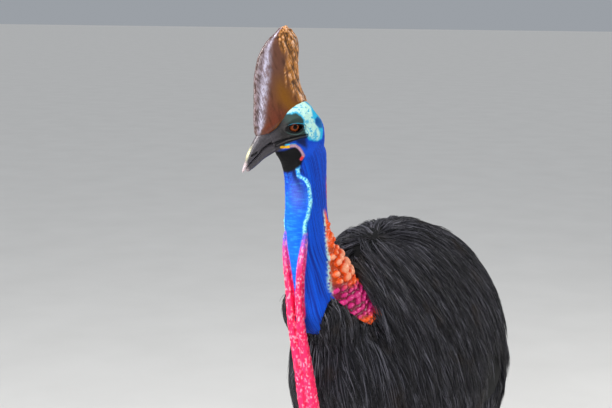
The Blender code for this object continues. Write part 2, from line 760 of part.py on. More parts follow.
def build_toe(name, root, axes, length, half_width, height, look):
    """One toe, with a swelling at each joint and a flat sole on the floor."""
    ahead, across = axes
    rings = []
    rows = 2 * TOE_JOINTS
    for i in range(rows + 1):
        share = i / rows
        swell = 1.0 + TOE_SWELL * math.cos(2.0 * math.pi * share * TOE_JOINTS)
        narrow = (1.0 - TOE_TAPER * share) * (TOE_END if i == rows else 1.0)
        wide, tall = half_width * narrow * swell, height * narrow * swell
        ring = []
        for t in turns(8, 0.5):
            lift = min(max(0.5 * tall * (1.0 + 1.25 * math.sin(t)), 0.0), tall)
            ring.append(root + share * length * ahead + wide * math.cos(t) * across + lift * UP)
        rings.append(ring)
    return loft(name, rings, look)


def build_claw(name, root, axes, length, height, size, look):
    """One claw: it leaves the toe's end, curves down a little and ends near the floor."""
    ahead, across = axes
    reach, radius = size
    reach += CLAW_SUNK * length
    start = root + (1.0 - CLAW_SUNK) * length * ahead + CLAW_RISE * height * UP
    rings = []
    for i in range(CLAW_ROWS):
        share = i / CLAW_ROWS
        drop = 0.75 * start.z * math.sin(share * math.pi / 2.0) - CLAW_ARCH * math.sin(share * math.pi)
        centre = start + share * reach * ahead - drop * UP
        thick = radius * (1.0 - share) ** 0.75
        ring = [centre + thick * (0.8 * math.cos(t) * across + math.sin(t) * UP) for t in turns(6)]
        rings.append(ring)
    tip = start + reach * ahead
    tip.z = CLAW_TIP_HEIGHT
    return loft(name, rings, look, tip)


def build_pad(side, look):
    """The round pad behind the toes, under the shank."""
    pad_y, pad_radius = HEEL_PAD
    across = side * SHANK[-1][0]
    rings = []
    for z, grow in HEEL_LEVELS:
        radius = pad_radius * grow
        rings.append([
            Vector((across + radius * math.cos(t), pad_y + radius * math.sin(t), z)) for t in turns(12)
        ])
    return loft("pad", rings, look)


def build_foot(side, label, shank, look, claw_look):
    """The three toes of one foot and their claws."""
    toes = []
    for name, x, y, heading, length, half_width, height, *claw_size in TOES:
        root, axes = Vector((side * x, y, 0.0)), toe_axes(heading, side)
        toe = build_toe(f"toe_{name}_{label}", root, axes, length, half_width, height, look)
        claw = build_claw(f"claw_{name}_{label}", root, axes, length, height, claw_size, claw_look)
        toes.append((toe, claw))
    (inner, _), (middle, _), (outer, _) = toes
    boolean(middle, "UNION", [build_pad(side, look)])
    for toe, claw in toes:
        seat(toe, claw)
    seat(middle, shank)
    seat(inner, shank, middle)
    seat(outer, shank, middle)


def wing_shapes(name, side, look, grow=0.0):
    """A stub of an arm and the bare quills that hang from it."""
    root = Vector((side * WING_ROOT.x, WING_ROOT.y, WING_ROOT.z))
    tip = Vector((side * WING_TIP.x, WING_TIP.y, WING_TIP.z))
    reach = tip - root
    across = reach.cross(Vector((side, 0.0, 0.0))).normalized()
    out = across.cross(reach).normalized()
    radius = WING_RADIUS + grow
    long_axis = reach * (WING_OVERREACH + grow / reach.length)
    axes = (WING_FLATNESS * radius * across, radius * out, long_axis)
    shapes = [ball(name, (root + tip) / 2.0, axes, 8, 6, look)]
    for i in range(QUILL_COUNT):
        share = QUILLS_START + (1.0 - QUILLS_START) * i / (QUILL_COUNT - 1)
        length = QUILL_LENGTH * (1.0 - QUILL_SHORTENING * (1.0 - share))
        drop = Vector((side * QUILL_FLARE, QUILL_SWEEP, -length))
        shapes.append(quill(root + share * reach, drop, look, grow))
    return shapes


def quill(start, drop, look, grow):
    """A bare quill that leaves the arm, bends outwards and ends in a point."""
    rings = []
    for step in range(QUILL_STEPS):
        u = step / QUILL_STEPS
        place = start + Vector((drop.x * math.sin(math.pi * 0.5 * u), drop.y * u * u, drop.z * u))
        size = QUILL_RADIUS * (1.0 - QUILL_TAPER * u) + grow
        rings.append([place + size * Vector((math.cos(t), math.sin(t), 0.0)) for t in turns(QUILL_AROUND)])
    return loft("quill", rings, look, start + drop - grow * UP)


def tail_core(look, grow=0.0):
    """The short cone of the rump, which carries the drooping tail plumes."""
    rings = []
    for y, z, half_width, half_height in TAIL:
        wide, tall = half_width + grow, half_height + grow
        rings.append([Vector((wide * math.cos(t), y, z + tall * math.sin(t))) for t in turns(TAIL_AROUND)])
    back = Vector((0.0, grow, 0.0))
    rings[0] = [p - back for p in rings[0]]
    rings[-1] = [p + back for p in rings[-1]]
    return loft("tail", rings, look)


def surface_of(item):
    """A search tree of a mesh object, to lay locks along it."""
    points = [v.co.copy() for v in item.data.vertices]
    return BVHTree.FromPolygons(points, [tuple(p.vertices) for p in item.data.polygons])


def body_surface(look):
    """The whole body under the coat, as one surface that all locks lie along."""
    guide = torso_core("guide", COAT_DEPTH, 2 * TORSO_AROUND, 2 * TORSO_ALONG, look)
    parts = [neck_length("guide", NECK[0][0], NECK_CUTS[0], look), tail_core(look)]
    for side in (1.0, -1.0):
        parts.append(leg_loft("guide", THIGH, THIGH_AROUND, side, look))
    boolean(guide, "UNION", parts)
    surface = surface_of(guide)
    remove([guide])
    return surface


def hang(normal):
    """The way the plumes lie at a place on the body that faces along the normal."""
    against = normal.dot(COAT_STREAM)
    if against > 0.0:
        return (COAT_STREAM - (1.0 - against) * against * normal).normalized()
    return (COAT_STREAM - against * normal).normalized()


def lay_curve(surface, root, length):
    """Places along one lock: each has a point on the lie, the way out of the body and the heading."""
    point, normal, _, _ = surface.find_nearest(root)
    heading = hang(normal)
    places = [(point.copy(), normal.copy(), heading.copy())]
    lift = 0.0
    for _ in range(LIE_STEPS):
        free = point + normal * lift + heading * (length / LIE_STEPS)
        point, normal, _, _ = surface.find_nearest(free)
        height = (free - point).dot(normal)
        cling = 1.0 if normal.z > 0.0 else HANGING_CLING
        lift = max(height * (1.0 - cling), 0.0)
        heading = hang(normal)
        places.append((point + normal * lift, normal.copy(), heading.copy()))
    return places


def lock(surface, root, size, look, grow=0.0):
    """A flat tapered lock with a ridge along its back and its root sunk in the core."""
    places = lay_curve(surface, root, LOCK_LENGTH * size)
    level = places[0][2].cross(places[0][1])
    rings = []
    for share, width, height, thickness in LOCK_SHAPE:
        point, _, heading = places[round(share * LIE_STEPS)]
        level = (level - level.dot(heading) * heading).normalized()
        up = level.cross(heading).normalized()
        half = LOCK_HALF_WIDTH * size * width + LOCK_SEAT_SIDE * grow
        base = point + up * height
        if share == 0.0:
            base -= heading * grow
        if share == 1.0:
            tip = base + LOCK_SEAT_SIDE * heading * grow
            continue
        ridge, keel = thickness + LOCK_SEAT_FACE * grow, LOCK_KEEL * thickness + LOCK_SEAT_FACE * grow
        rings.append([base + level * half, base + up * ridge, base - level * half, base - up * keel])
    return loft("lock", rings, look, tip)


def row_loop(surface, level):
    """Points round the body where it crosses one level of the stream."""
    start, end = COAT_AXIS
    low, high = start.dot(COAT_STREAM), end.dot(COAT_STREAM)
    centre = start + (end - start) * ((level - low) / (high - low))
    across = Vector((1.0, 0.0, 0.0))
    back = COAT_STREAM.cross(across).normalized()
    hits = [surface.ray_cast(centre, math.cos(t) * back + math.sin(t) * across)[0] for t in turns(LOOP_RAYS)]
    return [hit for hit in hits if hit is not None]


def spaced(ring, pitch, phase):
    """Points at one even pitch round a closed ring."""
    gaps = [(ring[(i + 1) % len(ring)] - ring[i]).length for i in range(len(ring))]
    total = sum(gaps)
    count = max(3, round(total / pitch))
    found = []
    for k in range(count):
        left = total * (k + phase) / count
        i = 0
        while left > gaps[i]:
            left -= gaps[i]
            i += 1
        found.append(ring[i].lerp(ring[(i + 1) % len(ring)], left / gaps[i]))
    return found


def bare_neck(point):
    """Whether this point lies on the neck, above the line where the plumage starts."""
    if point.z < NECK[0][0]:
        return False
    cx, cy, half_width, half_depth, _ = along(NECK, point.z)
    ahead, aside = (cy - point.y) / half_depth, (point.x - cx) / half_width
    if math.hypot(ahead, aside) > ON_THE_NECK:
        return False
    angle = abs(math.degrees(math.atan2(aside, ahead)))
    return point.z > along(FEATHER_LINE, angle)[0]


def coat_roots(surface):
    """The roots of the torso's and the tail's locks, in staggered rows, with their sizes."""
    rng = random.Random(SEED)
    first, last = COAT_LEVELS
    middle, reach = (first + last) / 2.0, (last - first) / 2.0
    torso, tail = [], []
    for row in range(COAT_ROWS):
        level = middle - reach * math.cos(math.pi * row / (COAT_ROWS - 1))
        for root in spaced(row_loop(surface, level), LOCK_PITCH, 0.25 + 0.5 * (row % 2)):
            size = rng.uniform(*LOCK_SPREAD)
            faces_down = surface.find_nearest(root)[1].z < -BARE_UNDERSIDE
            if bare_neck(root) or faces_down:
                continue
            (tail if root.y > TAIL_STARTS_AT else torso).append((root, size))
    return torso, tail


def thigh_roots(side):
    """The roots of one thigh's locks, in level rows round it."""
    rng = random.Random(SEED)
    by_height = [(row[2], *row[:2], *row[3:]) for row in THIGH]
    roots = []
    for i, z in enumerate(THIGH_LOCK_ROWS):
        across, y, half_width, half_depth = along(by_height, z)
        ring = leg_ring((across, y, z, half_width, half_depth), 24, side)
        places = spaced(ring, THIGH_LOCK_PITCH, 0.25 + 0.5 * (i % 2))
        roots += [(root, THIGH_LOCK_SIZE * rng.uniform(*LOCK_SPREAD)) for root in places]
    return roots


def coated(core, surface, roots, look):
    """Joins the locks with these roots to a core, and returns the seats that they need elsewhere."""
    boolean(core, "UNION", [lock(surface, root, size, look) for root, size in roots])
    return [lock(surface, root, size, look, GAP) for root, size in roots]


def build():
    skin = material("skin_blue", SKIN_BLUE, 0.55)
    pale = material("head_skin", SKIN_PALE, 0.55)
    warty = material("caruncle_skin", ORANGE, 0.40)
    red = material("wattle_skin", RED, 0.45)
    coat = material("plumage", BLACK, 0.60)
    horn = material("bill_horn", HORN, 0.35)
    casque_look = material("casque_horn", CASQUE_BROWN, 0.25)
    scaly = material("leg_scales", SCALE_GREY, 0.60)
    claw_look = material("claw_horn", HORN, 0.30)
    quill_look = material("quill", QUILL_BLACK, 0.30)
    eye_look = material("eye", IRIS, 0.08)

    casque = build_casque(casque_look)
    eyes = build_eyes(eye_look)
    build_head(casque, eyes, pale, horn)
    neck_lower = build_neck(skin, warty)
    wattles = [build_wattle("wattle_left", 1.0, red), build_wattle("wattle_right", -1.0, red)]
    seat(neck_lower, *wattles)

    surface = body_surface(coat)
    torso_roots, tail_roots = coat_roots(surface)
    seats = [[neck_length("seat", NECK[0][0], NECK_CUTS[0], warty, GAP), *caruncles(warty, GAP)]]
    for side, label in ((1.0, "left"), (-1.0, "right")):
        thigh = leg_loft(f"thigh_{label}", THIGH, THIGH_AROUND, side, coat)
        seats.append(coated(thigh, surface, thigh_roots(side), coat))
        seats[-1].append(leg_loft("seat", THIGH, THIGH_AROUND, side, coat, GAP))
        boolean(thigh, "DIFFERENCE", [leg_loft("seat", SHANK, SHANK_AROUND, side, scaly, GAP)])
        shank = build_shank(f"shank_{label}", side, scaly)
        build_foot(side, label, shank, scaly, claw_look)
        stub, *quills = wing_shapes(f"wing_{label}", side, quill_look)
        boolean(stub, "UNION", quills)
        seats.append(wing_shapes("seat", side, quill_look, GAP))
    tail = tail_core(coat)
    seats.append([tail_core(coat, GAP), *coated(tail, surface, tail_roots, coat)])
    torso = torso_core("torso", COAT_DEPTH, TORSO_AROUND, TORSO_ALONG, coat)
    boolean(torso, "UNION", [lock(surface, root, size, coat) for root, size in torso_roots])
    for group in seats:
        boolean(torso, "DIFFERENCE", group)


def stand_over_origin():
    """Hangs every node on one empty, which carries the bird's frame to the origin."""
    frame = bpy.data.objects.new("bird_frame", None)
    bpy.context.scene.collection.objects.link(frame)
    frame.location = BIRD_SHIFT
    for item in bpy.context.scene.objects:
        if item.type == "MESH":
            item.parent = frame


def main():
    for item in list(bpy.data.objects):
        bpy.data.objects.remove(item)
    build()
    stand_over_origin()


main()
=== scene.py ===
"""The southern cassowary as it looks: one skin, horn, eyes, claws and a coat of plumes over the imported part.

Lengths are metres and +Z is up. Shapes are made in the bird's own frame, where it faces -Y with its left
side on +X, and dress() then moves them by BIRD_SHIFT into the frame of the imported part.
"""

import math

import bmesh
import bpy
import numpy as np
from mathutils import Matrix, Vector
from mathutils.bvhtree import BVHTree


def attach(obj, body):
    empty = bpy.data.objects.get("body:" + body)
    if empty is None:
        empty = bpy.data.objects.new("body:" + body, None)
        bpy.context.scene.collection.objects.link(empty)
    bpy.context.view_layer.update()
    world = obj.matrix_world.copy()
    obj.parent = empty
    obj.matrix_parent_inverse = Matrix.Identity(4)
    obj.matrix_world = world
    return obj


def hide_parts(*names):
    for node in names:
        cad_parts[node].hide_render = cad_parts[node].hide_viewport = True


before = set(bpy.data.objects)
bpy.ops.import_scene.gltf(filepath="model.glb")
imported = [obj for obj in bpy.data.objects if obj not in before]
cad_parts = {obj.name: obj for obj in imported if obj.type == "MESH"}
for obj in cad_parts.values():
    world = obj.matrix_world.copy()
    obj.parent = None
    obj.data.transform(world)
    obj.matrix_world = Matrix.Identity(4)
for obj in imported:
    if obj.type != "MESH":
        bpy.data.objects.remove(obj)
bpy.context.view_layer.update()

BIRD_SHIFT = np.array([0.0, 0.025, 0.0])
SEED = 11
SIDES = ((1.0, "left"), (-1.0, "right"))
UP = np.array([0.0, 0.0, 1.0])

# Torso with its coat, as in the part: y, half width, top, bottom.
TORSO = (
    (-0.402, 0.028, 0.872, 0.772),
    (-0.388, 0.058, 0.904, 0.715),
    (-0.358, 0.088, 0.944, 0.665),
    (-0.315, 0.116, 0.984, 0.618),
    (-0.250, 0.153, 1.024, 0.566),
    (-0.160, 0.192, 1.051, 0.528),
    (-0.040, 0.218, 1.058, 0.508),
    (0.080, 0.227, 1.040, 0.500),
    (0.190, 0.215, 1.000, 0.496),
    (0.290, 0.182, 0.934, 0.498),
    (0.370, 0.135, 0.854, 0.512),
    (0.420, 0.090, 0.782, 0.538),
    (0.445, 0.050, 0.720, 0.578),
)
TORSO_WIDEST_AT = 0.34
TORSO_FULLNESS = 0.80
COAT_DEPTH = 0.020
TAIL = (  # y, z, half width, half height
    (0.330, 0.690, 0.066, 0.076),
    (0.380, 0.668, 0.060, 0.068),
    (0.430, 0.640, 0.048, 0.056),
    (0.462, 0.614, 0.030, 0.038),
    (0.472, 0.600, 0.012, 0.016),
)

# Neck, as level stations: z, centre x, centre y, half width, half depth, turn in degrees.
NECK = (
    (0.835, 0.000, -0.276, 0.060, 0.072, 0.0),
    (0.862, 0.000, -0.296, 0.084, 0.110, 0.0),
    (0.900, 0.000, -0.328, 0.080, 0.118, 0.0),
    (0.950, 0.000, -0.357, 0.066, 0.100, 1.0),
    (1.000, 0.000, -0.385, 0.054, 0.077, 3.0),
    (1.050, 0.000, -0.410, 0.045, 0.059, 8.0),
    (1.100, 0.000, -0.424, 0.041, 0.049, 13.0),
    (1.170, 0.000, -0.429, 0.038, 0.045, 22.0),
    (1.205, -0.001, -0.430, 0.037, 0.046, 27.0),
    (1.232, -0.003, -0.434, 0.0365, 0.0505, 30.0),
    (1.250, -0.006, -0.440, 0.0340, 0.0560, 30.0),
    (1.264, -0.008, -0.444, 0.0285, 0.0530, 30.0),
    (1.277, -0.010, -0.447, 0.0205, 0.0430, 30.0),
    (1.284, -0.012, -0.449, 0.0100, 0.0200, 30.0),
)

# Head, in its own level frame: forward, left and up from the point midway between the eyes.
EYE_MIDDLE = np.array([-0.019, -0.465, 1.3025])
HEAD_TURN = math.radians(30.0)
HEAD_PITCH = math.radians(21.0)
HEAD = (  # forward, top, bottom, half width
    (-0.0700, -0.0200, -0.0370, 0.0055),
    (-0.0684, -0.0120, -0.0450, 0.0115),
    (-0.0650, -0.0020, -0.0560, 0.0160),
    (-0.0606, 0.0080, -0.0660, 0.0200),
    (-0.0545, 0.0260, -0.0750, 0.0244),
    (-0.0440, 0.0400, -0.0750, 0.0284),
    (-0.0300, 0.0450, -0.0740, 0.0308),
    (-0.0150, 0.0455, -0.0700, 0.0315),
    (0.0000, 0.0420, -0.0620, 0.0295),
    (0.0150, 0.0335, -0.0530, 0.0255),
    (0.0300, 0.0205, -0.0450, 0.0205),
    (0.0450, 0.0120, -0.0375, 0.0165),
    (0.0520, 0.0110, -0.0355, 0.0150),
)
HEAD_WIDEST_AT = 0.62
HEAD_BOTTOM = 1.20  # the height below which the skin is the neck's
BILL_UPPER = (  # forward, top, bottom, half width
    (0.0440, 0.0110, -0.0142, 0.0140),
    (0.0600, 0.0130, -0.0150, 0.0128),
    (0.0720, 0.0118, -0.0175, 0.0114),
    (0.0800, 0.0065, -0.0210, 0.0104),
    (0.0900, -0.0015, -0.0262, 0.0092),
    (0.1000, -0.0098, -0.0300, 0.0078),
    (0.1100, -0.0195, -0.0342, 0.0062),
    (0.1180, -0.0292, -0.0388, 0.0046),
    (0.1250, -0.0372, -0.0440, 0.0028),
    (0.1285, -0.0418, -0.0458, 0.0012),
)
BILL_LOWER = (
    (0.0440, -0.0150, -0.0362, 0.0124),
    (0.0600, -0.0158, -0.0376, 0.0112),
    (0.0720, -0.0183, -0.0388, 0.0098),
    (0.0800, -0.0218, -0.0402, 0.0088),
    (0.0900, -0.0270, -0.0432, 0.0076),
    (0.1000, -0.0308, -0.0458, 0.0064),
    (0.1100, -0.0350, -0.0478, 0.0050),
    (0.1165, -0.0392, -0.0484, 0.0034),
    (0.1195, -0.0420, -0.0474, 0.0014),
)
# The halves of the bill, and how far up each is widest.
BILL_HALVES = (("bill_upper", BILL_UPPER, 0.30), ("bill_lower", BILL_LOWER, 0.72))
CASQUE = (  # up, front, rear, half thickness; its foot lies inside the head
    (0.0060, 0.0720, 0.0300, 0.0100),
    (0.0120, 0.0755, 0.0150, 0.0142),
    (0.0180, 0.0755, 0.0000, 0.0168),
    (0.0230, 0.0740, -0.0220, 0.0184),
    (0.0270, 0.0730, -0.0400, 0.0190),
    (0.0310, 0.0720, -0.0530, 0.0195),
    (0.0360, 0.0702, -0.0555, 0.0195),
    (0.0420, 0.0682, -0.0552, 0.0192),
    (0.0500, 0.0650, -0.0540, 0.0190),
    (0.0720, 0.0560, -0.0535, 0.0180),
    (0.0960, 0.0465, -0.0595, 0.0166),
    (0.1180, 0.0375, -0.0680, 0.0152),
    (0.1400, 0.0240, -0.0780, 0.0136),
    (0.1580, 0.0090, -0.0805, 0.0120),
    (0.1720, -0.0110, -0.0760, 0.0102),
    (0.1810, -0.0320, -0.0710, 0.0080),
    (0.1875, -0.0510, -0.0660, 0.0050),
)
CASQUE_TAPER = 0.28
CASQUE_GRID = (180, 150)  # rings and points round each
HORN_GRAIN = (0.16, 0.0013, 71)  # streaks: share, size and seed
HORN_CHIPS = (0.3, 0.0040, 78)
# Bands of the casque: heights on it, and what holds there as a share from its front to its rear edge.
ROUGH_START = ((0.030, 0.05, 0.075, 0.10, 0.14, 0.165, 0.185), (0.90, 0.74, 0.66, 0.62, 0.58, 0.42, 0.25))
GOLD_MIDDLE = ((0.020, 0.045, 0.080, 0.115), (0.78, 0.62, 0.52, 0.50))
# The painted highlight: a pale band of painted reflection near the casque's front edge.
HIGHLIGHT_MIDDLE = ((0.030, 0.060, 0.100, 0.140, 0.175), (0.095, 0.12, 0.18, 0.20, 0.16))
HIGHLIGHT_WIDTH = ((0.030, 0.060, 0.110, 0.150, 0.175), (0.045, 0.060, 0.090, 0.080, 0.060))
EYE_SIDE = 0.0180
GAZE = np.array([0.16, 1.0, 0.02])  # forward, out to the side and up
EYE_RADIUS = 0.0130
CORNEA_RISE = 0.0006
IRIS_EDGE = (0.0104, 0.0096)  # from its outer to its inner side
PUPIL_EDGE = (0.0052, 0.0045)
EYE_HALF_LENGTH = 0.0135  # of the opening between the lids
EYE_HALF_HEIGHT = (0.0046, 0.0090)  # of the opening above and below the eye's middle
EYE_TILT = math.radians(18.0)  # of the opening: its front corner is the higher one
GAPE = (0.060, 0.045)  # forward: where the mouth line passes from the bill to the skin
NOSTRIL = ((0.1010, -0.0212), (0.0885, -0.0186))  # its two ends: forward and up
NOSTRIL_HALF_HEIGHT = 0.0019
EAR = (-0.0500, -0.0120)  # forward and up
# Marks on the head: forward and up from the point midway between the eyes. The first six are outlines, and
# the others lines. CREASE runs under the eye and LIP_FOLD at the corner of the mouth.
CROWN = (
    (0.014, 0.033), (0.0, 0.029), (-0.013, 0.027), (-0.021, 0.016), (-0.0225, 0.004),
    (-0.0175, -0.008), (-0.015, -0.016), (-0.018, -0.025), (-0.0278, -0.0391), (-0.0388, -0.0465),
    (-0.0446, -0.0456), (-0.049, -0.0357), (-0.047, -0.0241), (-0.043, -0.01), (-0.044, 0.006),
    (-0.05, 0.022), (-0.04, 0.04), (-0.015, 0.045),
)
CROWN_EDGE = (
    (0.018, 0.033), (0.001, 0.027), (-0.011, 0.024), (-0.018, 0.014), (-0.019, 0.003),
    (-0.014, -0.008), (-0.012, -0.016), (-0.015, -0.027), (-0.02, -0.0391), (-0.0388, -0.05),
    (-0.05, -0.05), (-0.06, -0.0357), (-0.066, -0.015), (-0.066, 0.006), (-0.06, 0.028),
    (-0.045, 0.045), (-0.015, 0.048),
)
EAR_PATCH = (
    (-0.047, -0.004), (-0.044, -0.014), (-0.05, -0.025), (-0.06, -0.03), (-0.066, -0.015),
    (-0.056, -0.002),
)
LORES = (
    (0.066, 0.02), (0.02, 0.026), (0.002, 0.024), (-0.008, 0.019), (-0.0165, 0.013),
    (-0.0175, 0.004), (-0.015, -0.008), (-0.016, -0.02), (-0.015, -0.027), (0.006, -0.026),
    (0.026, -0.027), (0.042, -0.033), (0.06, -0.04),
)
CHEEK = (
    (0.01, -0.0235), (-0.002, -0.025), (-0.016, -0.028), (-0.014, -0.036), (-0.011, -0.047),
    (-0.006, -0.05), (0.001, -0.042), (0.006, -0.034),
)
# HOLLOW outlines the hollow under the chin, painted near black: painted shade over dark skin.
HOLLOW = (
    (0.07, -0.035), (0.044, -0.037), (0.023, -0.036), (0.012, -0.0375), (0.007, -0.045),
    (0.004, -0.054), (0.006, -0.064), (0.016, -0.076), (0.04, -0.086), (0.07, -0.07),
)
CHEEK_LINE = ((0.046, -0.0215), (0.022, -0.0205), (-0.002, -0.0235), (-0.0165, -0.0265))
CYAN_LINE = ((0.0285, -0.028), (0.02, -0.031), (0.0116, -0.034))
YELLOW_LINE = ((0.0375, -0.029), (0.031, -0.0318), (0.0245, -0.0338))
FOLD = (
    (0.02, -0.0335), (0.012, -0.0368), (0.008, -0.0436), (0.0064, -0.052), (0.0062, -0.06),
    (0.013, -0.065),
)
JAW = (
    (0.056, -0.035), (0.044, -0.037), (0.03, -0.048), (0.022, -0.064), (0.012, -0.072),
    (0.0, -0.068), (-0.02, -0.062), (-0.048, -0.052), (-0.09, -0.04),
)
MOUTH_LINE = (
    (0.1285, -0.0458), (0.11, -0.0345), (0.1, -0.0303), (0.09, -0.0265), (0.08, -0.0213),
    (0.072, -0.0179), (0.06, -0.0154), (0.0433, -0.015), (0.029, -0.0158), (0.006, -0.02),
    (-0.015, -0.0245),
)
BROW = ((0.021, 0.007), (0.012, 0.0135), (0.0, 0.0165), (-0.012, 0.0145), (-0.019, 0.008))
CREASE = ((0.016, -0.0165), (0.002, -0.0195), (-0.012, -0.0175))
LIP_FOLD = ((0.021, -0.03), (0.0105, -0.0345))
BILL_GROOVE = ((0.052, 0.004), (0.075, -0.006), (0.094, -0.0165), (0.112, -0.03))

# Wattles: z, middle to the left of the left one, of the right one, y, half width, half thickness.
WATTLE = (
    (1.085, 0.0190, -0.0295, -0.4620, 0.0022, 0.0020),
    (1.062, 0.0165, -0.0300, -0.4640, 0.0040, 0.0036),
    (1.030, 0.0115, -0.0275, -0.4640, 0.0060, 0.0050),
    (1.000, 0.0065, -0.0245, -0.4635, 0.0070, 0.0058),
    (0.965, 0.0040, -0.0200, -0.4625, 0.0078, 0.0062),
    (0.930, 0.0035, -0.0185, -0.4610, 0.0086, 0.0068),
    (0.890, 0.0045, -0.0170, -0.4560, 0.0094, 0.0070),
    (0.850, 0.0060, -0.0155, -0.4470, 0.0104, 0.0074),
    (0.790, 0.0105, -0.0110, -0.4370, 0.0114, 0.0080),
    (0.730, 0.0170, -0.0065, -0.4300, 0.0122, 0.0088),
    (0.690, 0.0220, -0.0010, -0.4270, 0.0118, 0.0086),
    (0.670, 0.0235, 0.0010, -0.4260, 0.0070, 0.0054),
)
# Angles on the neck are in degrees, from the throat round to the nape.
# The beaded ridge down each side of the throat: height and angle.
RIDGE = (
    (1.262, 66.0), (1.245, 66.0), (1.236, 58.0), (1.215, 46.0), (1.203, 45.0), (1.196, 61.0),
    (1.183, 67.0), (1.169, 67.0), (1.150, 66.0), (1.136, 61.0), (1.121, 54.0), (1.109, 46.0),
    (1.095, 41.5), (1.062, 35.0),
)
RIDGE_BEADS_BELOW = 1.208
RIDGE_SCALE = 0.00070  # metres along the skin for each degree
# The throat's smooth panel: height, and the angles of its edge on the left and on the right.
PANEL = (
    (1.2200, 50.0, 50.0),
    (1.1980, 50.0, 50.0),
    (1.1700, 64.0, 64.0),
    (1.1360, 58.0, 58.0),
    (1.1090, 44.0, 50.0),
    (1.0800, 38.0, 46.0),
    (1.0510, 29.0, 43.0),
    (1.0260, 18.0, 43.0),
    (0.9980, 10.0, 36.0),
    (0.9660, 7.0, 24.0),
    (0.9340, 6.0, 14.0),
    (0.9010, 6.0, 9.0),
)
# The patch of caruncles: height, and the angles of its edge towards the throat and towards the nape.
PATCH = (
    (1.115, 108.0, 116.0),
    (1.080, 99.0, 124.0),
    (1.040, 86.0, 135.0),
    (1.000, 69.0, 142.0),
    (0.960, 59.0, 142.0),
    (0.930, 63.0, 140.0),
    (0.900, 72.0, 134.0),
    (0.868, 84.0, 122.0),
)
BULB_ROWS = (  # height, radius along the row, radius across it
    (1.102, 0.0044, 0.0034),
    (1.088, 0.0058, 0.0042),
    (1.072, 0.0076, 0.0054),
    (1.055, 0.0096, 0.0066),
    (1.038, 0.0116, 0.0078),
    (1.020, 0.0146, 0.0096),
    (1.000, 0.0152, 0.0098),
    (0.981, 0.0144, 0.0084),
    (0.966, 0.0150, 0.0066),
    (0.953, 0.0154, 0.0060),
    (0.940, 0.0150, 0.0060),
    (0.927, 0.0140, 0.0060),
    (0.914, 0.0126, 0.0058),
    (0.901, 0.0114, 0.0056),
    (0.889, 0.0100, 0.0050),
    (0.878, 0.0080, 0.0046),
)
BULB_PITCH = 1.58  # from one bulb to the next in its row, in radii along the row
BULB_LEAN = math.radians(11.0)
BULB_LIFT = 0.22  # of a bulb's middle over the skin, in radii across its row
NECK_RADIUS = 0.06  # about, where the bulbs are
# Where the plumage starts: angle and height.
FEATHER_LINE = (
    (0.0, 0.862),
    (12.0, 0.866),
    (22.0, 0.886),
    (34.0, 0.915),
    (42.0, 0.932),
    (50.0, 0.945),
    (59.0, 0.945),
    (65.0, 0.932),
    (71.0, 0.910),
    (78.0, 0.888),
    (90.0, 0.874),
    (104.0, 0.880),
    (118.0, 0.902),
    (130.0, 0.940),
    (138.0, 0.975),
    (146.0, 1.000),
    (158.0, 1.010),
    (180.0, 1.015),
)

# Legs, for the left side: side, y, z, radius to the side, radius fore and aft.
THIGH = (
    (0.098, -0.010, 0.640, 0.074, 0.100),
    (0.102, 0.020, 0.580, 0.072, 0.094),
    (0.107, 0.055, 0.520, 0.060, 0.074),
    (0.111, 0.088, 0.465, 0.045, 0.052),
    (0.113, 0.104, 0.432, 0.034, 0.037),
)
SHANK = (
    (0.1120, 0.0930, 0.4650, 0.0300, 0.0330),
    (0.1130, 0.1045, 0.4315, 0.0250, 0.0270),
    (0.1140, 0.1200, 0.4050, 0.0265, 0.0290),
    (0.1150, 0.1310, 0.3800, 0.0310, 0.0350),
    (0.1155, 0.1310, 0.3550, 0.0280, 0.0310),
    (0.1160, 0.1240, 0.3200, 0.0215, 0.0245),
    (0.1170, 0.1120, 0.2500, 0.0195, 0.0225),
    (0.1180, 0.0990, 0.1700, 0.0195, 0.0225),
    (0.1190, 0.0860, 0.1000, 0.0215, 0.0240),
    (0.1200, 0.0780, 0.0620, 0.0260, 0.0265),
    (0.1200, 0.0740, 0.0360, 0.0270, 0.0260),
    (0.1200, 0.0720, 0.0160, 0.0230, 0.0220),
)
SCUTE_PITCH = 0.0155
SCUTE_STEP = 0.0020
TOE_SCUTE_PITCH = 0.0085
TOE_SCUTE_STEP = 0.0012
# Toes, for the left foot: root x, root y, heading in degrees to the left, length, half width, height,
# claw length, claw radius.
TOES = {
    "inner": (0.1050, 0.0620, -24.0, 0.0880, 0.0150, 0.0320, 0.100, 0.0085),
    "middle": (0.1200, 0.0560, 1.0, 0.1350, 0.0165, 0.0340, 0.040, 0.0075),
    "outer": (0.1345, 0.0620, 27.0, 0.1000, 0.0145, 0.0310, 0.034, 0.0068),
}
TOE_JOINTS = 3
CLAW_TAPER = 0.62
HEEL_SIDE = 0.120
HEEL_PAD = (0.0720, 0.0200)  # y and radius
WING_ROOT = np.array([0.168, 0.010, 0.660])
WING_TIP = np.array([0.176, 0.085, 0.605])
WING_RADIUS = 0.010
WING_FLATNESS = 1.25  # depth of the stub for one of its thickness
WING_OVERREACH = 0.60  # half length of the stub, as a share from its root to its tip
QUILL_COUNT = 5
QUILLS_START = 0.22  # place of the first quill, as a share from the wing's root to its tip
QUILL_SHORTENING = 0.14  # of a quill at the root of the wing
QUILL_TAPER = 0.8
QUILL_LENGTH = 0.186
QUILL_RADIUS = 0.0023
QUILL_FLARE = 0.052
QUILL_SWEEP = 0.050

# Size of the voxels of one surface, and rounds that smooth it.
HEAD_VOXELS = (0.0017, 5)
BODY_VOXELS = (0.008, 3)
LEG_VOXELS = (0.0026, 4)
WING_VOXELS = (0.0011, 2)
GUIDE_VOXELS = (0.008, 2)

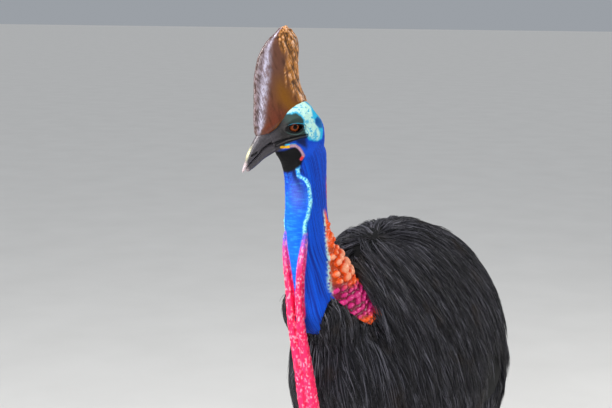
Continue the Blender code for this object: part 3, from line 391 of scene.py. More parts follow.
# The coat. A clump is a handful of plumes that start close together and lie the same way.
COAT_STREAM = np.array([0.0, 0.32, -0.947])
HANGING_CLING = 0.20  # how far a plume follows the body where the body faces down
STEPS = 3  # along a plume
PLUME_POINTS = 3 * STEPS + 1
SPARE_ROOTS = 1300  # drawn beyond the clumps, as those on bare skin are left out
HIGHEST_ROOT = 1.08
NECK_REACH = 1.15  # in sizes of the neck: what is further out belongs to the body
NECK_ALONE = 1.15  # the height above which all is neck or head
CLUMPS = 6600
PLUMES_EACH = 12
PLUME_HALF_WIDTH = 0.00093
PLUME_LENGTH = (0.100, 0.180)
PLUME_RISE = (0.009, 0.0185)
CLUMP_SPREAD = 0.0095
COAT_PIECES = 8
PLUME_WAVE = 0.0022
PLUME_LIFT = (-0.0018, 0.0016)  # of one plume's tip over its clump
PLUME_PROFILE = ((0.0, 0.35, 0.75, 1.0), (0.75, 1.0, 0.7, 0.05))  # shares along it and of its half width
ROOT_DEPTH = 0.003
UNWRAP_MIDDLE = 0.74
UNWRAP_FRONT = -0.50
UNWRAP_LENGTH = 1.05
UNWRAP_EDGE = 0.01
PATCH_SIZE = 0.003  # of a plume's place on the unwrap
WHORL = np.array([0.02, -0.150, 1.040])  # on the back, where the plumes part to all sides
WHORL_REACH = 0.075

# The stage.
FLOOR_HALF = 60.0
SKY = ((0.86, 0.92, 1.0, 1.0), 0.38)  # colour and strength
LIGHTS = (  # name, place, what it looks at, width and height, power, colour
    ("key", (-1.5, -2.6, 3.4), (0.0, -0.15, 0.9), (1.2, 1.2), 95.0, (1.0, 0.98, 0.95)),
    ("strip", (-1.95, -2.75, 1.60), (0.0, -0.44, 1.40), (0.45, 2.4), 55.0, (0.93, 0.96, 1.0)),
    ("fill", (0.9, -3.6, 2.3), (0.0, -0.1, 0.9), (1.6, 1.6), 42.0, (0.95, 0.97, 1.0)),
    ("rim", (2.4, 2.0, 2.6), (0.0, 0.0, 0.9), (1.4, 1.4), 75.0, (1.0, 0.98, 0.95)),
)
SUN = (math.radians(38.0), math.radians(-22.0), 1.3, math.radians(20.0))  # tilt, turn, strength, softness
CAMERA_PLACE = (1.261, -2.587, 1.55)
CAMERA_TURN = 30.0
CAMERA_PITCH = -9.25
CAMERA_LENS = 73.53  # mm, as is the width of the sensor
CAMERA_SENSOR = 36.0


def srgb(*shown):
    """A colour given as it shows on screen, from 0 to 255, as the linear numbers that shaders take."""
    shares = [value / 255.0 for value in shown]
    return np.array([v / 12.92 if v <= 0.04045 else ((v + 0.055) / 1.055) ** 2.4 for v in shares])

TURQUOISE_PALE = srgb(196, 240, 226)
TURQUOISE = srgb(36, 178, 222)
AZURE = srgb(2, 96, 222)
BLUE = srgb(3, 74, 200)
DEEP_BLUE = srgb(4, 40, 140)
LAVENDER = srgb(74, 92, 186)
GREY_GREEN = srgb(50, 70, 66)
LORE_GREY = srgb(44, 42, 42)
SKIN_BLACK = srgb(10, 10, 13)
YELLOW = srgb(236, 176, 10)
CYAN = srgb(70, 205, 232)
BEAD = srgb(165, 240, 238)
FOLD_PINK = srgb(206, 160, 178)
RED = srgb(226, 52, 52)
WATTLE_PINK = srgb(246, 30, 90)
WATTLE_DEEP = srgb(186, 12, 62)
# Pale beads on the wattles, painted as highlights.
WATTLE_BEAD_HIGHLIGHT = srgb(250, 170, 190)
ORANGE = srgb(248, 92, 26)
ORANGE_PALE = srgb(255, 200, 160)
MAGENTA = srgb(214, 40, 122)
# Painted shade between the caruncle bulbs, and painted highlights on their tops.
CREVICE_SHADE = srgb(104, 14, 30)
PINK_HIGHLIGHT = srgb(240, 150, 190)
LEG_GREY = srgb(132, 124, 108)
LEG_DARK = srgb(62, 58, 50)
CASQUE_BROWN = srgb(106, 68, 52)
CASQUE_RED = srgb(112, 50, 28)
CASQUE_GREY = srgb(128, 116, 122)
# A painted highlight: the reflection along the casque's front.
CASQUE_HIGHLIGHT = srgb(206, 200, 220)
CASQUE_GOLD = srgb(134, 84, 12)
CASQUE_ORANGE = srgb(186, 120, 50)
CASQUE_DARK = srgb(44, 24, 12)
BILL_GREY = srgb(72, 68, 72)
# A painted highlight on the bill's ridge.
BILL_RIDGE_HIGHLIGHT = srgb(206, 200, 160)
BILL_TIP = srgb(196, 176, 178)
IRIS = srgb(122, 54, 20)
PLUME_BLACK = (0.004, 0.004, 0.005)
PLUME_GREY = (0.026, 0.025, 0.032)
# The palest plumes are painted highlights.
PLUME_HIGHLIGHT = (0.175, 0.170, 0.205)
PLUME_BROWN = (0.050, 0.034, 0.024)
FLOOR_TONES = ((0.60, 0.59, 0.57), (0.68, 0.67, 0.65))


def smooth(low, high, value):
    t = np.clip((value - low) / (high - low), 0.0, 1.0)
    return t * t * (3.0 - 2.0 * t)


def bump(distance, reach):
    """A round hump of height 1 and this reach."""
    return np.exp(-((distance / reach) ** 2))


def unit(vector):
    return vector / np.linalg.norm(vector)


def signed_power(value, power):
    return np.sign(value) * np.abs(value) ** power


def along(stations, keys):
    """The sizes at each key, on a smooth curve through the rows of a station table."""
    table = np.array(stations, float)
    if table[0, 0] > table[-1, 0]:
        table = table[::-1]
    places, sizes = table[:, 0], table[:, 1:]
    slopes = np.gradient(sizes, places, axis=0)
    keys = np.atleast_1d(np.asarray(keys, float))
    i = np.clip(np.searchsorted(places, keys) - 1, 0, len(places) - 2)
    span = (places[i + 1] - places[i])[:, None]
    t = np.clip((keys[:, None] - places[i][:, None]) / span, 0.0, 1.0)
    ease = t * t * (3.0 - 2.0 * t)
    lead = slopes[i] * span * t * (1.0 - t) ** 2
    trail = slopes[i + 1] * span * t * t * (1.0 - t)
    return sizes[i] * (1.0 - ease) + sizes[i + 1] * ease + lead - trail


def hashed(cells, seed):
    mixed = (cells[:, 0] * 73856093) ^ (cells[:, 1] * 19349663) ^ (cells[:, 2] * 83492791) ^ (seed * 50331653)
    mixed = ((mixed ^ (mixed >> 13)) * 1274126177) & 0x7FFFFFFF
    return (mixed ^ (mixed >> 16)) / 0x3FFFFFFF - 1.0


def noise(points, size, seed=0):
    """Smooth random values from -1 to 1 that change over this size, which may differ for each axis."""
    scaled = points / np.asarray(size, float)
    low = np.floor(scaled).astype(np.int64)
    t = scaled - low
    t = t * t * (3.0 - 2.0 * t)
    total = np.zeros(len(points))
    for corner in np.ndindex(2, 2, 2):
        weight = np.prod(np.where(np.array(corner) == 1, t, 1.0 - t), axis=1)
        total += weight * hashed(low + np.array(corner), seed)
    return total


def from_line(x, y, line):
    """How far each point lies from a bent line, and where along it the nearest place is, from 0 to 1."""
    best = np.full(len(x), 1e9)
    place = np.zeros(len(x))
    count = len(line) - 1
    for i in range(count):
        (ax, ay), (bx, by) = line[i], line[i + 1]
        dx, dy = bx - ax, by - ay
        t = np.clip(((x - ax) * dx + (y - ay) * dy) / (dx * dx + dy * dy), 0.0, 1.0)
        away = np.hypot(x - ax - t * dx, y - ay - t * dy)
        nearer = away < best
        best = np.where(nearer, away, best)
        place = np.where(nearer, (i + t) / count, place)
    return best, place


def inside(x, y, outline, soft):
    """1 inside a closed outline and 0 outside it, with a soft edge."""
    within = np.zeros(len(x), bool)
    for (ax, ay), (bx, by) in zip(outline, outline[1:] + outline[:1]):
        crosses = (ay > y) != (by > y)
        with np.errstate(divide="ignore", invalid="ignore"):
            at = (bx - ax) * (y - ay) / (by - ay) + ax
        within ^= crosses & (x < at)
    away, _ = from_line(x, y, list(outline) + [outline[0]])
    return smooth(-soft, soft, np.where(within, away, -away))


def head_axes():
    """The head's forward, left and up directions, as rows."""
    level = np.array([-math.sin(HEAD_TURN), -math.cos(HEAD_TURN), 0.0])
    forward = math.cos(HEAD_PITCH) * level - math.sin(HEAD_PITCH) * UP
    up = math.sin(HEAD_PITCH) * level + math.cos(HEAD_PITCH) * UP
    return np.array([forward, np.cross(up, forward), up])

HEAD_AXES = head_axes()


def head_points(forward, left, up):
    parts = np.broadcast_arrays(forward, left, up)
    return EYE_MIDDLE + np.stack(parts, axis=-1) @ HEAD_AXES


def head_coordinates(points):
    return ((points - EYE_MIDDLE) @ HEAD_AXES.T).T


def neck_frame(z):
    cx, cy, half_width, half_depth, turn = along(NECK, z).T
    angle = np.radians(turn)
    forward = np.stack([-np.sin(angle), -np.cos(angle), 0.0 * angle], axis=-1)
    left = np.stack([np.cos(angle), -np.sin(angle), 0.0 * angle], axis=-1)
    return np.stack([cx, cy, np.asarray(z, float) + 0.0 * cx], axis=-1), half_width, half_depth, forward, left


def neck_points(z, degrees, out=0.0):
    """Points on the neck at angles from the throat round to the nape, positive on the bird's left."""
    z, degrees = np.broadcast_arrays(np.atleast_1d(np.asarray(z, float)), np.asarray(degrees, float))
    centre, half_width, half_depth, forward, left = neck_frame(z)
    t = np.radians(degrees)
    ahead, aside = (half_depth + out) * np.cos(t), (half_width + out) * np.sin(t)
    return centre + ahead[:, None] * forward + aside[:, None] * left


def neck_coordinates(points):
    """Each point's height, its angle as in neck_points, and how far out it is, with the skin at 1."""
    z = np.clip(points[:, 2], NECK[0][0], NECK[-1][0])
    centre, half_width, half_depth, forward, left = neck_frame(z)
    away = points - centre
    ahead = (away * forward).sum(1) / half_depth
    aside = (away * left).sum(1) / half_width
    return points[:, 2], np.degrees(np.arctan2(aside, ahead)), np.hypot(ahead, aside)


def tube(rings, tip=None):
    """Points and faces of a closed tube through rings of equal count, with a rounded fan at each end."""
    rings = np.asarray(rings, float)
    rows, count = rings.shape[:2]
    first = rings[0].mean(0)
    last = rings[-1].mean(0) if tip is None else np.asarray(tip, float)
    points = np.concatenate([rings.reshape(-1, 3), [first, last]])
    i, j = np.meshgrid(np.arange(rows - 1), np.arange(count), indexing="ij")
    k = (j + 1) % count
    here, above = i * count, (i + 1) * count
    quads = np.stack([here + j, here + k, above + k, above + j], -1).reshape(-1, 4)
    j = np.arange(count)
    k = (j + 1) % count
    start = np.stack([k, j, np.full(count, rows * count)], -1)
    end = np.stack([(rows - 1) * count + j, (rows - 1) * count + k, np.full(count, rows * count + 1)], -1)
    return points, quads.tolist() + start.tolist() + end.tolist()


def ball(centre, axes, around=20, rows=12):
    tilt = np.pi * (np.arange(rows - 1) + 1) / rows - np.pi / 2.0
    t = 2.0 * np.pi * np.arange(around) / around
    a, b, c = np.asarray(axes, float)
    level = np.cos(t)[:, None] * a + np.sin(t)[:, None] * b
    rings = centre + np.cos(tilt)[:, None, None] * level + np.sin(tilt)[:, None, None] * c
    points, faces = tube(rings)
    points[-2], points[-1] = centre - c, centre + c
    return points, faces


def turns(count, phase=0.0):
    return 2.0 * np.pi * (np.arange(count) + phase) / count


def joined(shapes):
    points, faces, start = [], [], 0
    for shape_points, shape_faces in shapes:
        points.append(shape_points)
        faces += [[v + start for v in face] for face in shape_faces]
        start += len(shape_points)
    return np.concatenate(points), faces


def placed(name, data):
    """A new object with this data, in the scene."""
    made = bpy.data.objects.new(name, data)
    bpy.context.scene.collection.objects.link(made)
    return made


def piece(name, points, faces):
    """A mesh object from points and faces in the bird's own frame, with its faces turned outwards."""
    mesh = bpy.data.meshes.new(name)
    mesh.from_pydata(points.tolist(), [], faces)
    work = bmesh.new()
    work.from_mesh(mesh)
    bmesh.ops.recalc_face_normals(work, faces=work.faces)
    work.to_mesh(mesh)
    work.free()
    return placed(name, mesh)


def applied(item):
    """Replaces an object's mesh by what its modifiers make of it."""
    graph = bpy.context.evaluated_depsgraph_get()
    graph.update()
    item.data = bpy.data.meshes.new_from_object(item.evaluated_get(graph))
    item.modifiers.clear()
    return item


def voxels(name, shapes, size, rounds):
    """One closed surface round all the shapes, with its steps smoothed away."""
    made = piece(name, *joined(shapes))
    step = made.modifiers.new("one_surface", "REMESH")
    step.mode = "VOXEL"
    step.voxel_size = size
    ease = made.modifiers.new("ease", "SMOOTH")
    ease.factor = 0.5
    ease.iterations = rounds
    return applied(made)


def read_points(item):
    points = np.empty(len(item.data.vertices) * 3)
    item.data.vertices.foreach_get("co", points)
    return points.reshape(-1, 3)


def read_normals(item):
    normals = np.empty(len(item.data.vertices) * 3, np.float32)
    item.data.vertices.foreach_get("normal", normals)
    return normals.reshape(-1, 3).astype(float)


def raised(item, points, rise):
    """The points moved out along the normals that the item's mesh has now."""
    return points + rise[:, None] * read_normals(item)


def write_points(item, points):
    item.data.vertices.foreach_set("co", points.astype(np.float32).ravel())
    item.data.update()


def write_values(item, name, values):
    """Stores a number for each point, for the material."""
    values = np.broadcast_to(values, len(item.data.vertices)).astype(np.float32)
    item.data.attributes.new(name, "FLOAT", "POINT").data.foreach_set("value", values)


def write_paint(item, colours, shine):
    """Stores each point's colour, and how wet or polished it is, for the material."""
    paint = item.data.attributes.new("paint", "FLOAT_COLOR", "POINT")
    rgba = np.concatenate([colours, np.ones((len(colours), 1))], axis=1)
    paint.data.foreach_set("color", rgba.astype(np.float32).ravel())
    write_values(item, "shine", shine)


def plain(points, colour):
    """This one colour for every point."""
    return np.broadcast_to(colour, (len(points), 3)).copy()


def blend(colours, *layers):
    """Lays each pair of a mask and a colour over the colours, in this order."""
    for mask, other in layers:
        mask = np.broadcast_to(np.clip(mask, 0.0, 1.0), len(colours))[:, None]
        colours = colours * (1.0 - mask) + other * mask
    return colours


def head_shape():
    keys = np.linspace(HEAD[0][0], HEAD[-1][0], 80)
    top, bottom, half_width = along(HEAD, keys).T
    widest = bottom + HEAD_WIDEST_AT * (top - bottom)
    t = turns(80)
    high, wide = signed_power(np.sin(t), 0.95), signed_power(np.cos(t), 0.95)
    reach = np.where(high > 0.0, (top - widest)[:, None], (widest - bottom)[:, None])
    return tube(head_points(keys[:, None], half_width[:, None] * wide, widest[:, None] + reach * high))


def neck_shape():
    levels = np.linspace(NECK[0][0], NECK[-1][0], 120)
    rings = [neck_points(np.full(88, z), np.degrees(turns(88))) for z in levels]
    return tube(rings)


def torso_shape():
    share = (1.0 - np.cos(np.linspace(0.06, 0.94, 40) * np.pi)) / 2.0
    front, rear = TORSO[0][0], TORSO[-1][0]
    half_width, top, bottom = along(TORSO, front + share * (rear - front)).T
    half_width = np.maximum(half_width - COAT_DEPTH, 0.2 * half_width)
    squeeze = np.minimum(COAT_DEPTH, 0.35 * (top - bottom))
    top, bottom = top - squeeze, bottom + squeeze
    widest = (bottom + TORSO_WIDEST_AT * (top - bottom))[:, None]
    y = front + COAT_DEPTH + share * (rear - front - 2.0 * COAT_DEPTH)
    t = turns(64, 0.5)
    above = np.sin(t) > 0.0
    across = half_width[:, None] * np.where(above, np.cos(t), signed_power(np.cos(t), TORSO_FULLNESS))
    lift = np.where(above, np.sin(t), signed_power(np.sin(t), TORSO_FULLNESS))
    high = widest + np.where(above, top[:, None] - widest, widest - bottom[:, None]) * lift
    return tube(np.stack([across, np.broadcast_to(y[:, None], across.shape), high], axis=-1))


def tail_shape():
    t = turns(32)
    rings = [
        np.stack([wide * np.cos(t), np.full(32, y), z + tall * np.sin(t)], -1) for y, z, wide, tall in TAIL
    ]
    return tube(rings)


def leg_sizes(stations, heights):
    """Side, y, radius to the side and radius fore and aft, at these heights of a leg's stations."""
    return along([(z, side, y, wide, deep) for side, y, z, wide, deep in stations], heights).T


def leg_shape(stations, side, rows=60, count=40):
    levels = np.linspace(stations[0][2], stations[-1][2], rows)
    across, y, wide, deep = leg_sizes(stations, levels)
    t = turns(count)
    x = side * (across[:, None] + wide[:, None] * np.sin(t))
    return tube(np.stack([x, y[:, None] - deep[:, None] * np.cos(t), levels[:, None] + 0.0 * x], axis=-1))


def toe_axes(name, side):
    root_x, root_y, heading = TOES[name][:3]
    angle = math.radians(heading) * side
    ahead = np.array([math.sin(angle), -math.cos(angle), 0.0])
    across = np.array([math.cos(angle), math.sin(angle), 0.0])
    return np.array([side * root_x, root_y, 0.0]), ahead, across


def toe_shape(name, side):
    length, half_width, height = TOES[name][3:6]
    root, ahead, across = toe_axes(name, side)
    share = np.linspace(-0.10, 1.0, 40)
    swell = 1.0 + 0.10 * np.cos(2.0 * np.pi * share * TOE_JOINTS)
    rounded = np.sqrt(np.clip(1.0 - ((share - 0.45) / 0.62) ** 6, 0.05, 1.0))
    narrow = (1.0 - 0.30 * np.clip(share, 0.0, 1.0)) * rounded
    wide, tall = half_width * narrow * swell, height * narrow * swell
    t = turns(28, 0.5)
    lift = np.clip(0.5 * tall[:, None] * (1.0 + 1.15 * np.sin(t)), 0.0, None)
    rings = root + (share * length)[:, None, None] * ahead
    rings = rings + (wide[:, None] * np.cos(t))[..., None] * across + lift[..., None] * UP
    return tube(rings)


def pad_shape(side):
    y, radius = HEEL_PAD
    t = turns(32)
    rings = []
    for z, grow in ((0.0, 0.86), (0.006, 1.0), (0.020, 0.95)):
        across, ahead = radius * grow * np.cos(t), radius * grow * np.sin(t)
        rings.append(np.stack([side * HEEL_SIDE + across, y + ahead, np.full(32, z)], -1))
    return tube(rings)


def wattle_shape(side):
    levels = np.linspace(WATTLE[0][0], WATTLE[-1][0], 150)
    left, right, y, wide, thick = along(WATTLE, levels).T
    middle = left if side > 0.0 else right
    t = turns(28)
    crumple = 1.0 + 0.06 * np.sin(levels * 620.0 + side) + 0.05 * np.sin(levels * 263.0)
    x = middle[:, None] + (wide * crumple)[:, None] * np.cos(t)
    back = y[:, None] - thick[:, None] * signed_power(np.sin(t), 0.8)
    return tube(np.stack([x, back, levels[:, None] + 0.0 * x], axis=-1))


def bulbs():
    """Caruncles on both sides of the lower neck, in leaning rows, as shapes and as middles with radii."""
    rng = np.random.default_rng(SEED)
    shapes = []
    for side, _ in SIDES:
        for row, (z, long_radius, short_radius) in enumerate(BULB_ROWS):
            first, last = along(PATCH, z)[0]
            _, half_width, half_depth, _, _ = neck_frame(np.array([z]))
            span = math.radians(last - first) * float(half_width[0] + half_depth[0]) / 2.0
            count = max(2, round(span / (BULB_PITCH * long_radius)))
            for i in range(count):
                share = (i + 0.3 + 0.5 * (row % 2) + rng.uniform(-0.12, 0.12)) / (count - 0.2)
                degrees = side * (first + share * (last - first))
                height = z + rng.uniform(-0.0020, 0.0020) + 0.016 * (share - 0.5)
                grow = rng.uniform(0.74, 1.22)
                shapes.append(bulb(height, degrees, grow * long_radius, grow * short_radius, side, rng))
    return shapes


def bulb(z, degrees, long_radius, short_radius, side, rng):
    place = neck_points(z, degrees)[0]
    out = unit(neck_points(z, degrees, 0.01)[0] - place)
    level = unit(np.cross(UP, out))
    rise = np.cross(out, level)
    lean = side * BULB_LEAN + rng.uniform(-0.16, 0.16)
    long_axis = math.cos(lean) * level + math.sin(lean) * rise
    short_axis = math.cos(lean) * rise - math.sin(lean) * level
    axes = (long_radius * long_axis, short_radius * short_axis, short_radius * rng.uniform(0.95, 1.2) * out)
    return ball(place + BULB_LIFT * short_radius * out, axes)


def refine(item, chosen):
    """Splits the faces whose points are all chosen, each into four."""
    work = bmesh.new()
    work.from_mesh(item.data)
    work.verts.ensure_lookup_table()
    picked = {v for v, keep in zip(work.verts, chosen) if keep}
    edges = [e for e in work.edges if e.verts[0] in picked and e.verts[1] in picked]
    bmesh.ops.subdivide_edges(work, edges=edges, cuts=1, use_grid_fill=True, smooth=1.0)
    work.to_mesh(item.data)
    work.free()


def eye_reach(forward, up):
    """How far out a place is from the middle of the eye's opening, whose edge is at 1."""
    along_lids = math.cos(EYE_TILT) * forward + math.sin(EYE_TILT) * (up + 0.001)
    across_lids = math.cos(EYE_TILT) * (up + 0.001) - math.sin(EYE_TILT) * forward
    half_height = np.where(across_lids > 0.0, *EYE_HALF_HEIGHT)
    return np.hypot(along_lids / EYE_HALF_LENGTH, across_lids / half_height)


def carve_eyes(points):
    """Opens the lids over both eyeballs and raises the folds round them."""
    forward, left, up = head_coordinates(points)
    side, depth = np.sign(left), np.abs(left)
    reach = eye_reach(forward, up)
    facing = depth > 0.010
    ball_depth = EYE_SIDE + np.sqrt(np.clip(EYE_RADIUS**2 - forward**2 - up**2, 0.0, None))
    folds = 0.0017 * bump(reach - 1.14, 0.13) - 0.0010 * bump(reach - 1.42, 0.10)
    folds += 0.0009 * bump(reach - 1.66, 0.13) - 0.0005 * bump(reach - 1.90, 0.12)
    brow, _ = from_line(forward, up, BROW)
    folds += 0.0024 * bump(brow, 0.0042)
    depth = depth + np.where(facing, folds, 0.0)
    hidden = np.minimum(depth, ball_depth - 0.0012)
    opened = 1.0 - smooth(0.93, 1.02, reach)
    depth = np.where(facing, depth * (1.0 - opened) + hidden * opened, depth)
    return head_points(forward, side * depth, up)


def head_relief(points):
    """How far the head's skin stands out or in, at each point."""
    forward, left, up = head_coordinates(points)
    mouth, _ = from_line(forward, up, MOUTH_LINE)
    gape = smooth(*GAPE, forward)
    relief = gape * (-0.0016 * bump(mouth, 0.0016) + 0.0011 * bump(mouth - 0.0042, 0.0022))
    hollow = np.hypot(forward - EAR[0], (up - EAR[1]) * 0.8)
    relief += -0.0030 * bump(hollow, 0.0042) + 0.0010 * bump(hollow - 0.0085, 0.0030)
    crown = smooth(-0.012, -0.022, forward) * smooth(-0.045, -0.030, up)
    relief += crown * 0.0005 * noise(points, 0.0042, 3) + crown * 0.00035 * np.abs(noise(points, 0.0022, 4))
    lores = smooth(0.006, 0.020, forward)
    relief += lores * 0.0003 * noise(points, (0.004, 0.004, 0.0018), 5)
    crease, _ = from_line(forward, up, CREASE)
    relief += -0.0009 * bump(crease, 0.0013) + 0.0007 * bump(crease - 0.0032, 0.0015)
    fold, _ = from_line(forward, up, LIP_FOLD)
    return relief + 0.0008 * bump(fold, 0.0022) * (np.abs(left) > 0.008)


def down_neck(aside, z, share):
    """Places for noise in streaks down the neck; the smaller the share, the longer they are."""
    return np.stack([aside * 0.9, z * share, 0.0 * z], axis=-1)


def ridge_of(z, angle):
    """How far each point lies from the beaded ridge of its side, in metres along the skin."""
    line = [(height, degrees * RIDGE_SCALE) for height, degrees in RIDGE]
    return from_line(z, np.abs(angle) * RIDGE_SCALE, line)[0]


def neck_relief(points, z, angle):
    aside = np.abs(angle)
    on_neck = smooth(1.262, 1.240, z)
    ridge = ridge_of(z, angle)
    beads = 0.55 + 0.75 * np.clip(noise(points, 0.0030, 8) + 0.2, 0.0, 1.0) * smooth(1.215, 1.195, z)
    relief = 0.0024 * bump(ridge, 0.0042) * beads * smooth(1.075, 1.100, z) * smooth(1.266, 1.250, z)
    panel = smooth(60.0, 45.0, aside) * smooth(0.90, 0.95, z)
    relief += panel * 0.00030 * noise(points, (0.012, 0.012, 0.0021), 9)
    sides = smooth(52.0, 68.0, aside) * smooth(0.86, 0.90, z)
    stripes = noise(down_neck(aside, z, 22.0), 1.6, 10)
    relief += sides * (0.00055 * stripes + 0.00025 * noise(points, 0.0030, 11))
    first, last = along(PATCH, z).T
    within = smooth(first - 10.0, first, aside) * smooth(last + 14.0, last, aside)
    within = within * smooth(0.850, 0.875, z) * smooth(1.135, 1.110, z)
    relief += within * (0.0009 * noise(points, 0.0065, 12) + 0.0005 * noise(points, 0.0030, 13))
    return on_neck * relief


def scale_relief(points):
    """Plates down the front of the shanks and toes and small scales round them."""
    z = points[:, 2]
    across, y, wide, deep = leg_sizes(SHANK, z)
    aside = (np.abs(points[:, 0]) - across) / wide
    ahead = (y - points[:, 1]) / deep
    front = smooth(0.35, 0.75, ahead / np.maximum(np.hypot(aside, ahead), 0.2))
    shank = smooth(0.050, 0.075, z) * smooth(0.425, 0.385, z)
    step = (z / SCUTE_PITCH + 0.12 * np.sign(aside)) % 1.0
    plates = SCUTE_STEP * (0.55 - step) * smooth(0.0, 0.10, step)
    small = 0.0007 * (1.0 - 2.0 * np.abs(noise(points, 0.0052, 21)))
    foot = smooth(0.050, 0.030, z)
    toe_step = (points[:, 1] / TOE_SCUTE_PITCH) % 1.0
    toe_plates = TOE_SCUTE_STEP * (0.55 - toe_step) * smooth(0.0, 0.15, toe_step) * smooth(0.006, 0.014, z)
    return shank * front * plates + (1.0 - front * shank) * (1.0 - foot) * small + foot * toe_plates


def paint_head(points, colours, shine):
    """The head: azure skin with a pale crown, dark lores and cheek, and coloured lids and folds."""
    forward, left, up = head_coordinates(points)
    fine = noise(points, 0.0040, 31)
    finer = noise(points, 0.0018, 32)
    broad = noise(points, 0.0095, 34)
    reach = eye_reach(forward, up)
    colours = blend(
        colours,
        (1.0, BLUE),
        (smooth(-0.012, -0.002, up) * smooth(-0.060, -0.045, forward), GREY_GREEN),
        (inside(forward, up + 0.0015 * fine, CROWN_EDGE, 0.0022), TURQUOISE),
    )
    crown = inside(forward, up + 0.0010 * fine, CROWN, 0.0030)
    azure = smooth(0.25, 0.60, broad + 0.3 * fine) * smooth(0.018, 0.004, up)
    colours = blend(
        colours,
        (crown * smooth(-0.8, -0.2, fine + 0.5 * finer), TURQUOISE_PALE),
        (0.8 * crown * azure, TURQUOISE),
        (0.8 * inside(forward, up, EAR_PATCH, 0.0026), DEEP_BLUE),
    )
    front = inside(forward + 0.0012 * fine, up, LORES, 0.0030)
    colours = blend(
        colours,
        (front, GREY_GREEN),
        (front * smooth(-0.006, 0.016, forward - 0.4 * up), LORE_GREY),
        (front * smooth(0.3, 0.9, finer) * smooth(0.0, 0.02, forward), LORE_GREY * 1.9),
        (0.9 * smooth(0.026, 0.047, forward) * smooth(-0.045, -0.035, up), BILL_GREY * 0.85),
        (0.85 * inside(forward, up + 0.001 * fine, CHEEK, 0.0055), SKIN_BLACK),
    )
    cheek, _ = from_line(forward, up, CHEEK_LINE)
    colours = blend(
        colours,
        (bump(cheek, 0.0013), LORE_GREY * 3.2),
        (bump(cheek - 0.0030, 0.0013) * smooth(0.0, -0.001, up), SKIN_BLACK),
    )
    mouth, _ = from_line(forward, up, MOUTH_LINE)
    colours = blend(colours, (smooth(*GAPE, forward) * bump(mouth, 0.0015), SKIN_BLACK * 0.6))
    arc = bump(reach - 1.62, 0.12) * smooth(0.016, 0.004, forward) * smooth(-0.012, 0.0, up)
    colours = blend(
        colours,
        (0.85 * arc, TURQUOISE),
        (0.7 * bump(reach - 1.60, 0.12) * smooth(0.0, -0.006, up), GREY_GREEN * 1.9),
        (smooth(1.42, 1.25, reach), SKIN_BLACK * 0.7),
    )
    cyan, _ = from_line(forward, up, CYAN_LINE)
    colours = blend(colours, (bump(cyan, 0.0016) * smooth(-0.5, 0.2, finer + 0.4), CYAN))
    yellow, _ = from_line(forward, up + 0.0008 * fine, YELLOW_LINE)
    colours = blend(colours, (smooth(0.0034, 0.0018, yellow), YELLOW))
    fold, place = from_line(forward, up, FOLD)
    off_middle = smooth(0.004, 0.012, np.abs(left))
    colours = blend(
        colours,
        (smooth(0.0042, 0.0024, fold) * off_middle, FOLD_PINK * 0.6),
        (0.65 * bump(fold, 0.0011) * smooth(-0.6, 0.1, finer) * off_middle, FOLD_PINK),
        (smooth(0.0034, 0.0018, fold) * smooth(0.80, 0.90, place), RED),
    )
    shine = np.where(reach < 1.25, 0.75, shine)
    return colours, shine


def paint_neck(points, colours, shine):
    """The bare neck: blue with a smooth throat panel, its beaded ridges and the red nape."""
    z, angle, spread = neck_coordinates(points)
    aside = np.abs(angle)
    fine = noise(points, 0.0035, 41)
    stripes = noise(down_neck(aside, z, 18.0), 1.1, 42)
    broad = noise(down_neck(aside, z, 26.0), 6.0, 47)
    colours = blend(
        colours,
        (1.0, BLUE),
        (0.9 * smooth(-0.1, 0.7, stripes), DEEP_BLUE),
        (0.35 * smooth(0.1, 0.8, broad), DEEP_BLUE),
        (0.5 * smooth(0.3, 0.8, -stripes), AZURE),
    )
    ridge = ridge_of(z, angle)
    last_left, last_right = along(PANEL, z).T
    last = np.where(angle > 0.0, last_left, last_right)
    panel = smooth(last + 3.0, last - 3.0, aside) * smooth(1.222, 1.195, z) * smooth(0.90, 0.94, z)
    colours = blend(
        colours,
        (panel * smooth(1.200, 1.140, z), AZURE),
        (panel * 0.85 * bump(z - 1.165, 0.030) * bump(angle - 30.0, 24.0), LAVENDER),
    )
    wrinkles = noise(points, (0.010, 0.010, 0.0019), 9)
    colours = blend(
        colours,
        (panel * 0.16 * smooth(0.1, 0.7, wrinkles), CYAN),
        (panel * 0.22 * smooth(0.1, 0.7, -wrinkles), DEEP_BLUE),
    )
    # Near black under the chin: painted shade over dark skin, with a dark band inside the panel's edge.
    dark_side = smooth(1.150, 1.215, z) * bump(aside - last + 16.0, 10.0)
    hollow = smooth(52.0, 40.0, aside - 600.0 * (1.236 - z)) * smooth(1.200, 1.222, z)
    hollow = np.maximum(hollow, 0.8 * dark_side)
    colours = blend(colours, (hollow * smooth(1.12, 1.17, z), SKIN_BLACK * 0.4))
    pips = noise(points, 0.0022, 44)
    beads = smooth(-0.30, 0.05, pips) * smooth(RIDGE_BEADS_BELOW, 1.196, z) * bump(ridge, 0.0030)
    beads = np.maximum(beads, 0.6 * smooth(0.0, 0.3, pips))
    edge = smooth(0.0046, 0.0026, ridge) * smooth(1.040, 1.075, z) * smooth(1.242, 1.228, z)
    colours = blend(colours, (edge, AZURE), (edge * 0.35, CYAN), (edge * beads, BEAD))
    rim = bump(aside - last, 5.0) * smooth(1.100, 1.060, z) * smooth(0.92, 0.96, z)
    colours = blend(colours, (rim * smooth(0.1, 0.5, noise(points, 0.0030, 48)), BEAD))
    nape = smooth(126.0, 146.0, aside + 6.0 * fine) * smooth(1.205, 1.170, z)
    colours = blend(colours, (nape, RED * 0.7), (nape * smooth(1.13, 1.05, z), ORANGE))
    return paint_patch(points, z, aside, fine, spread, colours, shine)


